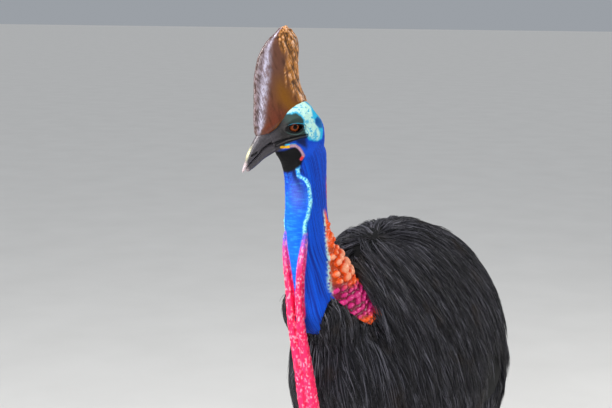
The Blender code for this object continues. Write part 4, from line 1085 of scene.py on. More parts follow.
def paint_patch(points, z, aside, fine, spread, colours, shine):
    """The caruncles: orange above and at the rear, magenta below, with pale skin at the front edge."""
    # Painted highlights make the bulbs' tops paler, and painted shade darkens the crevices between them.
    first, last = along(PATCH, z).T
    tall = smooth(0.856, 0.870, z) * smooth(1.135, 1.115, z)
    rim = bump(aside - first + 2.0, 4.0) * tall * smooth(0.945, 0.975, z)
    within = smooth(first - 5.0, first, aside + 2.0 * fine) * smooth(last + 9.0, last + 3.0, aside) * tall
    height = (spread - 1.0) * NECK_RADIUS
    bulging = smooth(0.0015, 0.0040, height) * tall * smooth(first - 14.0, first - 8.0, aside)
    within = np.maximum(within, bulging)
    depth = (aside - first) / np.maximum(last - first, 8.0)
    warm = smooth(0.952, 0.972, z + 0.022 * (depth - 0.45) + 0.008 * noise(points, 0.012, 45))
    warm = np.maximum(warm, smooth(0.900, 0.885, z + 0.006 * fine))[:, None]
    flesh = MAGENTA * (1.0 - warm) + ORANGE * warm
    pale = PINK_HIGHLIGHT * (1.0 - warm) + ORANGE_PALE * warm
    deep = CREVICE_SHADE * (1.0 - warm) + ORANGE * 0.45 * warm
    # Painted highlight: the highest parts of the bulbs.
    crest_highlight = 0.75 * smooth(0.0062, 0.0110, height + 0.0020 * noise(points, 0.006, 46))[:, None]
    # Painted shade: the low skin between the bulbs.
    low = smooth(0.0040, 0.0010, height)[:, None] * smooth(1.060, 1.045, z)[:, None]
    shade = flesh * (1.0 - 0.75 * crest_highlight) + pale * 0.75 * crest_highlight
    colours = blend(
        colours,
        (within, shade * (1.0 - 0.85 * low) + deep * 0.85 * low),
        (0.85 * rim * smooth(-0.4, 0.3, fine), TURQUOISE_PALE),
    )
    return colours, np.maximum(shine, 0.95 * within)


def wattle_mask(points):
    """How surely each point lies on a wattle."""
    z = points[:, 2]
    left, right, y, wide, thick = along(WATTLE, z).T
    level = smooth(WATTLE[0][0] + 0.004, WATTLE[0][0] - 0.006, z)
    best = np.zeros(len(z))
    for middle in (left, right):
        reach = np.hypot((points[:, 0] - middle) / (wide + 0.0016), (points[:, 1] - y) / (thick + 0.0030))
        best = np.maximum(best, smooth(1.25, 1.02, reach))
    return best * level


def paint_wattles(points, colours, shine):
    """The wattles: pink with pale beads painted as highlights, blending into the blue of the throat."""
    mask = wattle_mask(points)
    beads = smooth(0.10, 0.50, noise(points, (0.0026, 0.0026, 0.0042), 51))
    folds = smooth(0.0, 0.7, noise(points, (0.0045, 0.0045, 0.016), 52))
    colours = blend(colours, (mask, WATTLE_PINK), (mask * 0.7 * folds, WATTLE_DEEP))
    specks = points[:, 2] + 0.016 * noise(points, 0.0028, 54)
    colours = blend(
        colours,
        (0.5 * mask * smooth(0.99, 1.07, specks), LAVENDER),
        (mask * smooth(1.045, 1.095, specks), AZURE),
        # Pale beads: painted highlights on the wattles' beaded skin.
        (mask * 0.6 * beads * smooth(-0.7, 0.1, noise(points, 0.011, 53)), WATTLE_BEAD_HIGHLIGHT),
    )
    return colours, np.maximum(shine, 0.45 * mask)


def paint_legs(points, colours):
    fine = noise(points, 0.006, 61)
    legs = smooth(0.475, 0.455, points[:, 2])
    return blend(
        colours,
        (legs, LEG_GREY),
        (legs * smooth(-0.1, 0.6, fine) * 0.7, LEG_DARK),
        (legs * 0.5 * smooth(0.10, 0.02, points[:, 2]), LEG_DARK),
    )


def paint_skin(points):
    """The colour of the skin at each point, from marks that are placed by name and size."""
    # Skin under the plumes is near black, darker than its own colour: painted shade, so that gaps in the coat
    # look dark.
    colours = plain(points, SKIN_BLACK * 0.25)
    shine = np.where(points[:, 2] < 0.48, 0.35, 0.0)
    forward, _, up = head_coordinates(points)
    z, angle, spread = neck_coordinates(points)
    on_neck = (z > NECK[0][0] - 0.001) & (spread < 1.45)
    neck_colours, neck_shine = paint_neck(points, colours, shine)
    bare = on_neck & (z > along(FEATHER_LINE, np.abs(angle))[:, 0] - 0.004)
    colours[bare], shine[bare] = neck_colours[bare], neck_shine[bare]
    head_colours, head_shine = paint_head(points, colours, shine)
    is_head = smooth(-0.004, 0.004, head_edge(forward, up) + 0.0015 * noise(points, 0.005, 33))
    is_head = is_head * (z > HEAD_BOTTOM)
    colours = colours * (1.0 - is_head[:, None]) + head_colours * is_head[:, None]
    shine = shine * (1.0 - is_head) + head_shine * is_head
    # The hollow under the chin, painted near black: painted shade over dark skin.
    fold, _ = from_line(forward, up, FOLD)
    hollow = inside(forward, up, HOLLOW, 0.0030) * smooth(0.0016, 0.0036, fold) * (z > HEAD_BOTTOM)
    colours = blend(colours, (hollow, SKIN_BLACK * 0.15))
    colours, shine = paint_wattles(points, colours, shine)
    return paint_legs(points, colours), shine


def head_edge(forward, up):
    """Above 0 where the skin is the head's, and under 0 below the jaw, where it is the neck's."""
    away, _ = from_line(forward, up, JAW)
    jaw_up = np.interp(forward, *zip(*JAW[::-1]))
    return np.where(up > jaw_up, away, -away)


def build_skin():
    """Head, neck, body, legs and wattles as one closed surface, with its relief and its paint."""
    shapes = [head_shape(), neck_shape(), *bulbs(), wattle_shape(1.0), wattle_shape(-1.0)]
    neck = voxels("neck", shapes, *HEAD_VOXELS)
    points = read_points(neck)
    forward, left, up = head_coordinates(points)
    refine(neck, (np.abs(forward) < 0.075) & (up > -0.040) & (points[:, 2] > HEAD_BOTTOM))
    points = read_points(neck)
    forward, left, up = head_coordinates(points)
    refine(neck, (np.abs(forward) < 0.026) & (np.abs(up) < 0.022) & (np.abs(left) > 0.010))
    relief(neck)
    body = [torso_shape(), tail_shape(), leg_shape(THIGH, 1.0), leg_shape(THIGH, -1.0)]
    body = voxels("body", body, *BODY_VOXELS)
    legs = []
    for side, _ in SIDES:
        toes = [toe_shape(name, side) for name in TOES]
        shank = leg_shape(SHANK, side, rows=120, count=48)
        leg = voxels("leg", [shank, pad_shape(side), *toes], *LEG_VOXELS)
        points = read_points(leg)
        points = raised(leg, points, scale_relief(points))
        points[:, 2] = np.maximum(points[:, 2], 0.0)
        write_points(leg, points)
        legs.append(leg)
    skin = union(neck, [body, *legs])
    skin.name = "skin"
    colours, shine = paint_skin(read_points(skin))
    write_paint(skin, colours, shine)
    return skin


def relief(neck):
    points = carve_eyes(read_points(neck))
    z, angle, _ = neck_coordinates(points)
    forward, _, up = head_coordinates(points)
    is_head = smooth(-0.003, 0.003, head_edge(forward, up)) * (z > HEAD_BOTTOM)
    rise = is_head * head_relief(points) * (eye_reach(forward, up) > 1.0)
    rise = rise + (1.0 - is_head) * neck_relief(points, z, angle)
    on_wattle = wattle_mask(points)
    beads = 0.0007 * np.clip(noise(points, 0.0030, 51), 0.0, 1.0)
    rise = rise * (1.0 - on_wattle) + on_wattle * beads
    write_points(neck, raised(neck, points, rise))


def union(target, others):
    for other in others:
        step = target.modifiers.new("join", "BOOLEAN")
        step.operation = "UNION"
        step.object = other
        step.solver = "MANIFOLD"
        applied(target)
        bpy.data.objects.remove(other)
    return target


def streaked(place, share, size, seed):
    """Noise in streaks up the head; the smaller the share, the longer they are."""
    forward, left, up = place
    return noise(np.stack([forward, left, up * share], -1), size, seed)


def build_casque():
    """The horny casque: polished at the front and sides, rough and frayed behind and on top."""
    heights = np.linspace(CASQUE[0][0], CASQUE[-1][0], CASQUE_GRID[0])
    front, rear, half_thickness = along(CASQUE, heights).T
    t = turns(CASQUE_GRID[1])
    thin = half_thickness[:, None] * (1.0 - CASQUE_TAPER * np.cos(t))
    across = thin * signed_power(np.sin(t), 0.85)
    middle, reach = (front + rear)[:, None] / 2.0, (front - rear)[:, None] / 2.0
    top = head_points((front[-1] + rear[-1]) / 2.0, 0.0, heights[-1] + 0.0015)
    points, faces = tube(head_points(middle + reach * np.cos(t), across, heights[:, None]), top)
    casque = piece("casque", points, faces)
    place = head_coordinates(points)
    rear_share = rear_of(place[0], place[2])
    rough = rough_band(rear_share, place[2], points)
    rise = rough * (0.0008 * streaked(place, *HORN_GRAIN) + 0.0007 * streaked(place, *HORN_CHIPS) - 0.0004)
    rise += smooth(0.158, 0.180, place[2]) * 0.0016 * noise(points, 0.0065, 73)
    rise += 0.0002 * streaked(place, 0.15, 0.0030, 74)
    write_points(casque, raised(casque, points, rise))
    paint_casque(casque, points, place, rear_share, rough)
    return casque


def rear_of(forward, up):
    """Where a place on the casque lies from its front edge, 0, to its rear edge, 1."""
    front, rear, _ = along(CASQUE, up).T
    return np.clip((front - forward) / np.maximum(front - rear, 0.002), 0.0, 1.0)


def rough_band(rear_share, up, points):
    starts = np.interp(up, *ROUGH_START)
    return smooth(-0.04, 0.08, rear_share - starts + 0.10 * noise(points, (0.004, 0.004, 0.022), 75))


def paint_casque(casque, points, place, rear_share, rough):
    """Brown horn: painted highlight and shade in front, a golden band in the middle and frayed orange behind.
    """
    up = place[2]
    streaks = streaked(place, 0.12, 0.0030, 76)
    blotches = noise(points, 0.014, 77)
    colours = plain(points, CASQUE_BROWN)
    colours = blend(
        colours,
        (smooth(0.10, 0.02, up) * smooth(0.12, 0.3, rear_share) * 0.85, CASQUE_RED),
        (0.45 * smooth(0.1, 0.8, streaks), CASQUE_DARK),
    )
    middle = np.interp(up, *GOLD_MIDDLE)
    gold = bump(rear_share - middle + 0.05 * blotches, 0.15) * smooth(0.125, 0.065, up)
    colours = blend(colours, (0.9 * gold, CASQUE_GOLD))
    # Fine streaks for the front edge's speckle and for the painted highlight.
    wear_and_highlight = streaked(place, 0.10, 0.0013, 79)
    # The front edge: speckled grey and dark horn, darkened as painted shade where the front face turns away
    # from the light.
    front = smooth(0.17, 0.08, rear_share + 0.03 * blotches)
    colours = blend(
        colours,
        (front * (0.25 + 0.5 * smooth(-0.2, 0.5, wear_and_highlight)), CASQUE_GREY),
        (front * 0.75 * smooth(-0.2, 0.3, -wear_and_highlight), CASQUE_DARK),
    )
    # Painted highlight: a pale streaky band of reflection along the casque near its front edge.
    away = rear_share - np.interp(up, *HIGHLIGHT_MIDDLE) + 0.02 * blotches
    painted_highlight = bump(away / np.interp(up, *HIGHLIGHT_WIDTH), 1.0) * smooth(0.006, 0.024, up)
    colours = blend(colours, (painted_highlight * (0.30 + 0.65 * smooth(-0.35, 0.25, wear_and_highlight)), CASQUE_HIGHLIGHT))
    grain, chips = streaked(place, *HORN_GRAIN), streaked(place, *HORN_CHIPS)
    colours = blend(
        colours,
        (rough, CASQUE_ORANGE),
        (0.85 * rough * smooth(-0.10, 0.30, -grain - 0.5 * chips), CASQUE_DARK),
        (rough * 0.6 * smooth(0.30, 0.60, grain + 0.2 * chips), ORANGE_PALE),
    )
    write_paint(casque, colours, 0.95 - 0.75 * rough)


def bill_rings(stations, widest_at, rows=120, count=64):
    keys = np.linspace(stations[0][0], stations[-1][0], rows)
    top, bottom, half_width = along(stations, keys).T
    widest = (bottom + widest_at * (top - bottom))[:, None]
    t = turns(count, 0.5)
    reach = np.where(np.sin(t) > 0.0, top[:, None] - widest, widest - bottom[:, None])
    across = half_width[:, None] * signed_power(np.cos(t), 0.95)
    return head_points(keys[:, None], across, widest + reach * signed_power(np.sin(t), 0.95))


def build_bill():
    """Both halves of the bill, with the nostrils, the groove along them, a painted highlight on the ridge and
    the paler tip.
    """
    halves = []
    for name, stations, widest_at in BILL_HALVES:
        points, faces = tube(bill_rings(stations, widest_at))
        half = piece(name, points, faces)
        forward, left, up = head_coordinates(points)
        nostril, _ = from_line(forward, up, NOSTRIL)
        groove, _ = from_line(forward, up, BILL_GROOVE)
        upper = 1.0 if name == "bill_upper" else 0.0
        rise = -0.0034 * bump(nostril, NOSTRIL_HALF_HEIGHT) + 0.0006 * bump(nostril - 0.0034, 0.0014)
        rise = upper * rise
        rise -= upper * 0.0006 * bump(groove, 0.0012)
        rise += 0.00012 * noise(points, (0.0030, 0.0030, 0.0012), 81)
        write_points(half, raised(half, points, rise))
        paint_bill(half, points, forward, left, up, nostril, upper)
        halves.append(half)
    return halves


def paint_bill(half, points, forward, left, up, nostril, upper):
    streaks = noise(np.stack([forward * 0.3, left, up], -1), 0.0012, 82)
    top = along(BILL_UPPER, forward)[:, 0]
    colours = blend(plain(points, BILL_GREY), (0.5 * smooth(0.0, 0.8, streaks), BILL_GREY * 1.9))
    # A painted highlight: a pale patch on the ridge of the upper bill.
    ridge = upper * smooth(0.0056, 0.0030, np.abs(left)) * smooth(0.007, 0.003, top - up)
    wear_and_highlight = upper * 0.7 * bump(forward - 0.076, 0.010)
    colours = blend(
        colours,
        (ridge * bump(forward - 0.104, 0.009), BILL_RIDGE_HIGHLIGHT),
        (0.9 * smooth(0.112, 0.122, forward), BILL_TIP),
        (wear_and_highlight * smooth(0.009, 0.002, top - up) * smooth(-0.4, 0.4, streaks), CASQUE_GREY),
        # The nostril painted dark: painted shade inside its slot.
        (upper * bump(nostril, NOSTRIL_HALF_HEIGHT * 1.1), SKIN_BLACK * 0.4),
    )
    write_paint(half, colours, 0.55)


def build_eyes():
    """Both eyeballs, each with a streaked iris and a pupil that looks out and a little ahead."""
    eyes = []
    for side, label in SIDES:
        out = (unit(GAZE) * (1.0, side, 1.0)) @ HEAD_AXES
        level = unit(np.cross(UP, out))
        rise = np.cross(out, level)
        centre = head_points(0.0, side * EYE_SIDE, 0.0)
        points, faces = ball(centre, EYE_RADIUS * np.array([level, rise, out]), around=72, rows=48)
        away = points - centre
        radius = np.hypot(away @ level, away @ rise)
        front = away @ out > 0.0
        ray = np.arctan2(away @ rise, away @ level)
        streaks = noise(np.stack([np.cos(ray) * 9.0, np.sin(ray) * 9.0, radius * 300.0], -1), 1.0, 91)
        colours = plain(points, SKIN_BLACK * 0.5)
        iris = front * smooth(*IRIS_EDGE, radius)
        colours = blend(
            colours,
            (iris, IRIS),
            (iris * 0.5 * smooth(-0.2, 0.8, streaks), IRIS * 1.6),
            (iris * 0.8 * smooth(0.0086, 0.0104, radius), IRIS * 0.15),
            (front * smooth(*PUPIL_EDGE, radius), SKIN_BLACK * 0.02),
        )
        cornea = CORNEA_RISE * bump(radius, 0.007)[:, None] * front[:, None] * out
        eye = piece(f"eye_{label}", points + cornea, faces)
        write_paint(eye, colours, 1.0)
        eyes.append(eye)
    return eyes


def build_claws():
    """A curved claw at the end of each toe."""
    claws = []
    for side, label in SIDES:
        for name, (_, _, _, length, _, height, claw_length, radius) in TOES.items():
            root, ahead, across = toe_axes(name, side)
            reach = claw_length + 0.07 * length
            start = root + 0.93 * length * ahead + 0.40 * height * UP
            share = np.linspace(0.0, 0.985, 40)
            drop = 0.30 * height * np.sin(share * np.pi / 2.0) - 0.004 * np.sin(share * np.pi)
            middle = start + share[:, None] * reach * ahead - drop[:, None] * UP
            size = radius * (1.0 - share) ** CLAW_TAPER
            t = turns(24)
            rings = middle[:, None, :] + (size[:, None] * np.cos(t) * 0.8)[..., None] * across
            rings = rings + (size[:, None] * np.sin(t))[..., None] * UP
            rings[..., 2] = np.maximum(rings[..., 2], 0.0006)
            claw = piece(f"claw_{name}_{label}", *tube(rings, start + reach * ahead - 0.26 * height * UP))
            points = read_points(claw)
            streaks = noise(points @ np.diag([1.0, 0.2, 1.0]), 0.0016, 95)
            colours = plain(points, SKIN_BLACK * 1.6)
            write_paint(claw, blend(colours, (0.5 * smooth(0.0, 0.8, streaks), BILL_GREY)), 0.7)
            claws.append(claw)
    return claws


def wing_arm(side):
    """The stub of the arm, with where its quills start and the way they are spread."""
    mirror = np.array([side, 1.0, 1.0])
    root, reach = WING_ROOT * mirror, (WING_TIP - WING_ROOT) * mirror
    across = unit(np.cross(reach, [side, 0.0, 0.0]))
    out = unit(np.cross(across, reach))
    axes = (WING_FLATNESS * WING_RADIUS * across, WING_RADIUS * out, WING_OVERREACH * reach)
    return ball(root + reach / 2.0, axes, around=32, rows=20), root, reach


def build_wings():
    """On each side a stub of an arm and the bare quills that hang from it over the flank."""
    wings = []
    for side, label in SIDES:
        arm, root, reach = wing_arm(side)
        shapes = [arm]
        for i in range(QUILL_COUNT):
            share = QUILLS_START + (1.0 - QUILLS_START) * i / (QUILL_COUNT - 1)
            u = np.linspace(0.0, 0.985, 36)[:, None]
            length = QUILL_LENGTH * ((1.0 - QUILL_SHORTENING) + QUILL_SHORTENING * share)
            flare = side * QUILL_FLARE * np.sin(np.pi * 0.5 * u)
            bend = np.concatenate([flare, QUILL_SWEEP * u * u, -length * u], 1)
            middle = root + share * reach + bend
            size = QUILL_RADIUS * (1.0 - QUILL_TAPER * u)
            t = turns(14)
            ring = np.stack([np.cos(t), np.sin(t), 0.0 * t], -1)
            shapes.append(tube(middle[:, None, :] + size[:, None] * ring[None]))
        wing = voxels(f"wing_{label}", shapes, *WING_VOXELS)
        write_paint(wing, np.broadcast_to(SKIN_BLACK * 1.2, (len(wing.data.vertices), 3)), 0.7)
        wings.append(wing)
    return wings


def feather_edge(points):
    """How far each point lies below the line where the plumage starts, along the neck; large elsewhere."""
    z, angle, spread = neck_coordinates(points)
    below = along(FEATHER_LINE, np.abs(angle))[:, 0] - z
    on_neck = (z > NECK[0][0]) & ((spread < NECK_REACH) | (z > NECK_ALONE))
    return np.where(on_neck, below, 1.0)


def hang(normals, points):
    """The way the plumes lie where the body faces along these normals."""
    against = normals @ COAT_STREAM
    keep = np.where(against > 0.0, (1.0 - against) * against, against)
    heading = COAT_STREAM - keep[:, None] * normals
    from_whorl = points - WHORL
    away = np.linalg.norm(from_whorl, axis=1)
    share = 0.9 * bump(away, WHORL_REACH)[:, None]
    heading = heading / np.linalg.norm(heading, axis=1)[:, None]
    heading = heading * (1.0 - share) + share * from_whorl / np.maximum(away, 1e-4)[:, None]
    heading -= np.minimum((heading * normals).sum(1), 0.0)[:, None] * normals
    return heading / np.linalg.norm(heading, axis=1)[:, None]


def nearest(surface, points):
    places, normals = np.empty_like(points), np.empty_like(points)
    for i, point in enumerate(points.tolist()):
        place, normal, _, _ = surface.find_nearest(point)
        places[i], normals[i] = place, normal
    return places, normals


def lay(surface, roots, lengths, rises, turn):
    """Where clumps of plumes lie: for each step along them their places, ways out and headings."""
    points, normals = nearest(surface, roots)
    lift = np.zeros(len(roots))
    rows = []
    for step in range(STEPS + 1):
        heading = hang(normals, points)
        side = np.cross(heading, normals)
        heading = heading * np.cos(turn)[:, None] + side * np.sin(turn)[:, None]
        share = step / STEPS
        height = lift + rises * (1.0 - (1.0 - share) ** 2.2)
        rows.append((points + normals * height[:, None], normals, heading))
        if step == STEPS:
            break
        free = points + normals * lift[:, None] + heading * (lengths / STEPS)[:, None]
        points, normals = nearest(surface, free)
        above = ((free - points) * normals).sum(1)
        cling = np.where(normals[:, 2] > 0.0, 1.0, HANGING_CLING)
        lift = np.maximum(above * (1.0 - cling), 0.0)
    return [np.stack(part, axis=1) for part in zip(*rows)]


def strands(clumps, rng):
    """Closed three-sided tapered plumes of these clumps, as points (plume, ring, corner)."""
    places, normals, headings = (np.repeat(part, PLUMES_EACH, axis=0) for part in clumps)
    total = len(places)
    sides = np.cross(headings, normals)
    sides /= np.linalg.norm(sides, axis=2)[..., None]
    share = np.linspace(0.0, 1.0, STEPS + 1)
    across = rng.uniform(-CLUMP_SPREAD, CLUMP_SPREAD, total)[:, None] * (1.0 - 0.55 * share**1.4)
    ahead = rng.uniform(-1.6 * CLUMP_SPREAD, 1.6 * CLUMP_SPREAD, total)[:, None] * (1.0 - 0.2 * share)
    ahead = ahead + (rng.uniform(-0.03, 0.012, total))[:, None] * share
    wave = rng.uniform(-PLUME_WAVE, PLUME_WAVE, total)[:, None]
    wave = wave * np.sin(share * rng.uniform(2.0, 5.0, total)[:, None])
    lift = rng.uniform(*PLUME_LIFT, total)[:, None] * np.sqrt(share)
    middle = places + sides * (across + wave)[..., None]
    middle = middle + headings * ahead[..., None] + normals * lift[..., None]
    thick = np.interp(share, *PLUME_PROFILE)
    half = (PLUME_HALF_WIDTH * rng.uniform(0.75, 1.25, total))[:, None] * thick
    twist = rng.uniform(-0.5, 0.5, total)[:, None]
    corners = []
    for turn in turns(3, 0.25):
        wide, high = np.cos(turn + twist) * half, 0.7 * np.sin(turn + twist) * half
        corners.append(middle + sides * wide[..., None] + normals * high[..., None])
    corners = np.stack(corners, axis=2)
    corners[:, 0] -= normals[:, 0][:, None, :] * ROOT_DEPTH
    return corners


def strand_mesh(name, corners, patches):
    """The plumes as one mesh: each ends in a point, and its OFBake patch lies at its root's place."""
    total = len(corners)
    rings = corners[:, :STEPS].reshape(total, -1, 3)
    tips = corners[:, STEPS].mean(1)[:, None]
    points = np.concatenate([rings, tips], axis=1).reshape(-1, 3)
    faces, spots = [], []
    for row in range(STEPS - 1):
        for j in range(3):
            k = (j + 1) % 3
            a, b, c, d = 3 * row + j, 3 * row + k, 3 * row + 3 + k, 3 * row + 3 + j
            faces += [(a, b, c), (a, c, d)]
            spots += [((j, row), (j + 1, row), (j + 1, row + 1)), ((j, row), (j + 1, row + 1), (j, row + 1))]
    last = 3 * (STEPS - 1)
    for j in range(3):
        faces.append((last + j, last + (j + 1) % 3, PLUME_POINTS - 1))
        spots.append(((j, STEPS - 1), (j + 1, STEPS - 1), (j + 0.5, STEPS)))
    faces.append((2, 1, 0))
    spots.append(((2, 0), (1, 0.4), (0, 0)))
    faces = (np.array(faces)[None] + (np.arange(total) * PLUME_POINTS)[:, None, None]).reshape(-1, 3)
    corner_uv = np.array(spots, float).reshape(-1, 2) / (3.0, STEPS) * PATCH_SIZE
    uv = (patches[:, None] + corner_uv[None]).reshape(-1, 2)
    mesh = bpy.data.meshes.new(name)
    mesh.vertices.add(len(points))
    mesh.vertices.foreach_set("co", points.astype(np.float32).ravel())
    mesh.loops.add(faces.size)
    mesh.loops.foreach_set("vertex_index", faces.astype(np.int32).ravel())
    mesh.polygons.add(len(faces))
    mesh.polygons.foreach_set("loop_start", np.arange(0, faces.size, 3, dtype=np.int32))
    mesh.update(calc_edges=True)
    mesh.uv_layers.new(name="OFBake").data.foreach_set("uv", uv.astype(np.float32).ravel())
    return placed(name, mesh)


def unwrapped(points):
    """Places on an unwrap of the body: the turn round its middle, and its length from breast to tail."""
    around = np.arctan2(points[:, 0], points[:, 2] - UNWRAP_MIDDLE) / (2.0 * np.pi) + 0.5
    length = (points[:, 1] - UNWRAP_FRONT) / UNWRAP_LENGTH
    return UNWRAP_EDGE + (1.0 - 3.0 * UNWRAP_EDGE) * np.stack([around, length], axis=1)


def scattered(item, count, rng):
    """Places spread evenly over a mesh object, by area."""
    mesh = item.data
    mesh.calc_loop_triangles()
    corners = np.empty(len(mesh.loop_triangles) * 3, np.int32)
    mesh.loop_triangles.foreach_get("vertices", corners)
    triangles = read_points(item)[corners.reshape(-1, 3)]
    first, second = triangles[:, 1] - triangles[:, 0], triangles[:, 2] - triangles[:, 0]
    areas = np.linalg.norm(np.cross(first, second), axis=1)
    marks = (np.arange(count) + rng.uniform(0.0, 1.0, count)) * areas.sum() / count
    chosen = np.clip(np.searchsorted(np.cumsum(areas), marks), 0, len(areas) - 1)
    a, b = rng.uniform(0.0, 1.0, (2, count))
    over = a + b > 1.0
    a, b = np.where(over, 1.0 - a, a), np.where(over, 1.0 - b, b)
    return triangles[chosen, 0] + a[:, None] * first[chosen] + b[:, None] * second[chosen]


def coat_guide():
    """The closed body under the coat, as a mesh object."""
    shapes = [torso_shape(), tail_shape(), neck_shape(), leg_shape(THIGH, 1.0), leg_shape(THIGH, -1.0)]
    return voxels("guide", shapes + [wing_arm(1.0)[0], wing_arm(-1.0)[0]], *GUIDE_VOXELS)


def build_coat():
    """The plumes of the body, the thighs and the tail, in pieces that each hold one length of the body."""
    rng = np.random.default_rng(SEED + 1)
    guide = coat_guide()
    corners = [Vector(point) for point in read_points(guide).tolist()]
    surface = BVHTree.FromPolygons(corners, [tuple(face.vertices) for face in guide.data.polygons])
    roots = scattered(guide, CLUMPS + SPARE_ROOTS, rng)
    bpy.data.objects.remove(guide)
    roots = roots[(feather_edge(roots) > -0.001) & (roots[:, 2] < HIGHEST_ROOT)][:CLUMPS]
    edge = feather_edge(roots)
    near = 0.30 + 0.70 * smooth(0.0, 0.085, edge)
    leg = smooth(0.60, 0.50, roots[:, 2]) * smooth(0.035, 0.055, np.abs(roots[:, 0]))
    lengths = rng.uniform(*PLUME_LENGTH, len(roots)) * near * (1.0 - 0.45 * leg)
    rises = rng.uniform(*PLUME_RISE, len(roots)) * (0.30 + 0.70 * smooth(0.0, 0.10, edge))
    clumps = lay(surface, roots, lengths, rises, rng.normal(0.0, 0.10, len(roots)))
    pieces = []
    for i, chosen in enumerate(np.array_split(np.argsort(roots[:, 1]), COAT_PIECES)):
        plumes = strands([part[chosen] for part in clumps], rng)
        patches = unwrapped(np.repeat(roots[chosen], PLUMES_EACH, axis=0))
        coat = strand_mesh(f"coat_{i + 1}", plumes, patches)
        # A random tone for each plume; the highest tones give the pale plumes that are painted highlights.
        tone = np.repeat(rng.uniform(0.0, 1.0, len(chosen)), PLUMES_EACH) * 0.3
        tone = tone + rng.uniform(0.0, 0.7, len(tone))
        write_values(coat, "tone", np.repeat(tone, PLUME_POINTS))
        pieces.append(coat)
    return pieces


def set_inputs(made, values):
    for key, value in values.items():
        made.inputs[key].default_value = value


def node(tree, kind, inputs=None, **settings):
    made = tree.nodes.new(kind)
    for key, value in settings.items():
        setattr(made, key, value)
    set_inputs(made, inputs or {})
    return made


def link(tree, *steps):
    """Links for each step an output of a node to an input of another."""
    for source, output, target, slot in steps:
        tree.links.new(source.outputs[output], target.inputs[slot])


def map_range(tree, low, high, to_low, to_high):
    limits = {"From Min": low, "From Max": high, "To Min": to_low, "To Max": to_high}
    return node(tree, "ShaderNodeMapRange", limits)


def colour_ramp(tree, first, last, *between):
    """A ramp between two colours, with more colours at the given places between them."""
    made = node(tree, "ShaderNodeValToRGB")
    elements = made.color_ramp.elements
    elements[0].color, elements[1].color = (*first, 1.0), (*last, 1.0)
    for place, colour in between:
        elements.new(place).color = (*colour, 1.0)
    return made


def new_material(name):
    made = bpy.data.materials.new(name)
    made.use_nodes = True
    return made, made.node_tree, made.node_tree.nodes["Principled BSDF"]


def painted_material(name, grain, grain_depth, gloss, rough, coat=0.0, pores=0.0, specular=0.24):
    """A material that takes its colour from the paint and adds grain, pores and a change of gloss.

    Gloss is the roughness where the shine is 1, and rough where it is 0.
    """
    made, tree, shader = new_material(name)
    place = node(tree, "ShaderNodeTexCoord")
    paint = node(tree, "ShaderNodeAttribute", attribute_name="paint")
    shine = node(tree, "ShaderNodeAttribute", attribute_name="shine")
    speckle = node(tree, "ShaderNodeTexNoise", {"Scale": grain, "Detail": 3.0})
    spread = map_range(tree, 0.3, 0.7, 0.8, 1.2)
    tint = node(tree, "ShaderNodeVectorMath", operation="SCALE")
    level = map_range(tree, 0.0, 1.0, rough, gloss)
    relief_bump = node(tree, "ShaderNodeBump", {"Strength": 0.6, "Distance": grain_depth})
    link(
        tree,
        (place, "Object", speckle, "Vector"),
        (speckle, "Fac", spread, "Value"),
        (paint, "Color", tint, 0),
        (spread, "Result", tint, "Scale"),
        (tint, "Vector", shader, "Base Color"),
        (shine, "Fac", level, "Value"),
        (level, "Result", shader, "Roughness"),
        (relief_bump, "Normal", shader, "Normal"),
    )
    if pores:
        holes = node(tree, "ShaderNodeTexVoronoi", {"Scale": pores})
        both = node(tree, "ShaderNodeMath", operation="ADD")
        link(
            tree,
            (place, "Object", holes, "Vector"),
            (speckle, "Fac", both, 0),
            (holes, "Distance", both, 1),
            (both, "Value", relief_bump, "Height"),
        )
    else:
        link(tree, (speckle, "Fac", relief_bump, "Height"))
    set_inputs(shader, {"Specular IOR Level": specular, "Coat Weight": coat, "Coat Roughness": 0.12})
    return made


def plume_material():
    """Charcoal black plumes: some greyer than others and browner in places, the palest ones painted
    highlights.
    """
    made, tree, shader = new_material("plumes")
    tone = node(tree, "ShaderNodeAttribute", attribute_name="tone")
    greys = colour_ramp(tree, PLUME_BLACK, PLUME_HIGHLIGHT, (0.58, PLUME_GREY))
    place = node(tree, "ShaderNodeTexCoord")
    blotch = node(tree, "ShaderNodeTexNoise", {"Scale": 14.0, "Detail": 2.0})
    brown = map_range(tree, 0.58, 0.72, 0.0, 0.5)
    mix = node(tree, "ShaderNodeMix", data_type="RGBA")
    mix.inputs[7].default_value = (*PLUME_BROWN, 1.0)
    link(
        tree,
        (tone, "Fac", greys, "Fac"),
        (place, "Object", blotch, "Vector"),
        (blotch, "Fac", brown, "Value"),
        (brown, "Result", mix, 0),
        (greys, "Color", mix, 6),
        (mix, 2, shader, "Base Color"),
    )
    set_inputs(shader, {"Roughness": 0.46, "Specular IOR Level": 0.30})
    return made


def dress(pieces, material, nodes=()):
    """Gives pieces their material, moves them into the part's frame and hides the imported parts they stand
    for.
    """
    for item in pieces:
        item.data.materials.clear()
        item.data.materials.append(material)
        item.data.polygons.foreach_set("use_smooth", np.ones(len(item.data.polygons), bool))
        item.data.transform(Matrix.Translation(BIRD_SHIFT))
        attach(item, "root")
        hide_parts(*(nodes or [item.name.split(".")[0]]))


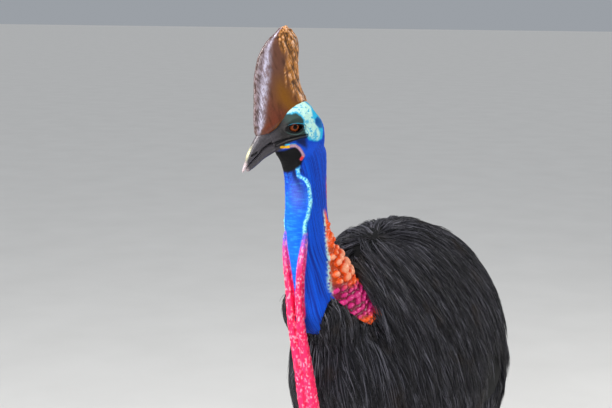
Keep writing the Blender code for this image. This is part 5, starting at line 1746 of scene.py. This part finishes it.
def build_bird():
    skin_look = painted_material("skin", 900.0, 0.00022, gloss=0.20, rough=0.82, pores=620.0)
    horn = painted_material("horn", 700.0, 0.00006, gloss=0.13, rough=0.70, coat=0.30)
    wet = painted_material("eye", 300.0, 0.0, gloss=0.04, rough=0.3, coat=0.10, specular=0.10)
    flesh = ["head", "neck_upper", "neck_lower", "torso", "tail", "wattle_left", "wattle_right"]
    for _, label in SIDES:
        flesh += [f"thigh_{label}", f"shank_{label}"]
        flesh += [f"toe_{name}_{label}" for name in TOES]
    dress([build_skin()], skin_look, flesh)
    dress([build_casque()], horn)
    dress(build_bill(), horn)
    dress(build_eyes(), wet)
    dress(build_claws(), horn)
    dress(build_wings(), horn)
    dress(build_coat(), plume_material(), ["torso"])


def build_floor():
    half = FLOOR_HALF
    mesh = bpy.data.meshes.new("floor")
    corners = [(-half, -half, 0.0), (half, -half, 0.0), (half, half, 0.0), (-half, half, 0.0)]
    mesh.from_pydata(corners, [], [(0, 1, 2, 3)])
    made, tree, shader = new_material("floor")
    place = node(tree, "ShaderNodeTexCoord")
    grain = node(tree, "ShaderNodeTexNoise", {"Scale": 3.0, "Detail": 4.0})
    tones = colour_ramp(tree, *FLOOR_TONES)
    link(
        tree,
        (place, "Object", grain, "Vector"),
        (grain, "Fac", tones, "Fac"),
        (tones, "Color", shader, "Base Color"),
    )
    set_inputs(shader, {"Roughness": 0.85})
    mesh.materials.append(made)
    placed("floor", mesh)


def build_stage():
    """A pale floor, a soft studio light and the camera at the photo's height and angle."""
    build_floor()
    scene = bpy.context.scene
    world = scene.world or bpy.data.worlds.new("sky")
    scene.world = world
    world.use_nodes = True
    set_inputs(world.node_tree.nodes["Background"], dict(zip(("Color", "Strength"), SKY)))
    for name, place, target, (wide, tall), power, tint in LIGHTS:
        lamp = bpy.data.lights.new(name, "AREA")
        lamp.shape, lamp.size, lamp.size_y, lamp.energy, lamp.color = "RECTANGLE", wide, tall, power, tint
        item = placed(name, lamp)
        item.location = place
        item.rotation_euler = (Vector(target) - Vector(place)).to_track_quat("-Z", "Y").to_euler()
    lamp = bpy.data.lights.new("sun", "SUN")
    tilt, turn, lamp.energy, lamp.angle = SUN
    item = placed("sun", lamp)
    item.rotation_euler = (tilt, 0.0, turn)
    lens = bpy.data.cameras.new("photo_view")
    lens.lens, lens.sensor_width = CAMERA_LENS, CAMERA_SENSOR
    camera = placed("photo_view", lens)
    camera.location = CAMERA_PLACE
    camera.rotation_euler = (math.radians(90.0 + CAMERA_PITCH), 0.0, math.radians(CAMERA_TURN))
    scene.camera = camera
    scene.view_settings.view_transform = "Standard"


build_bird()
build_stage()
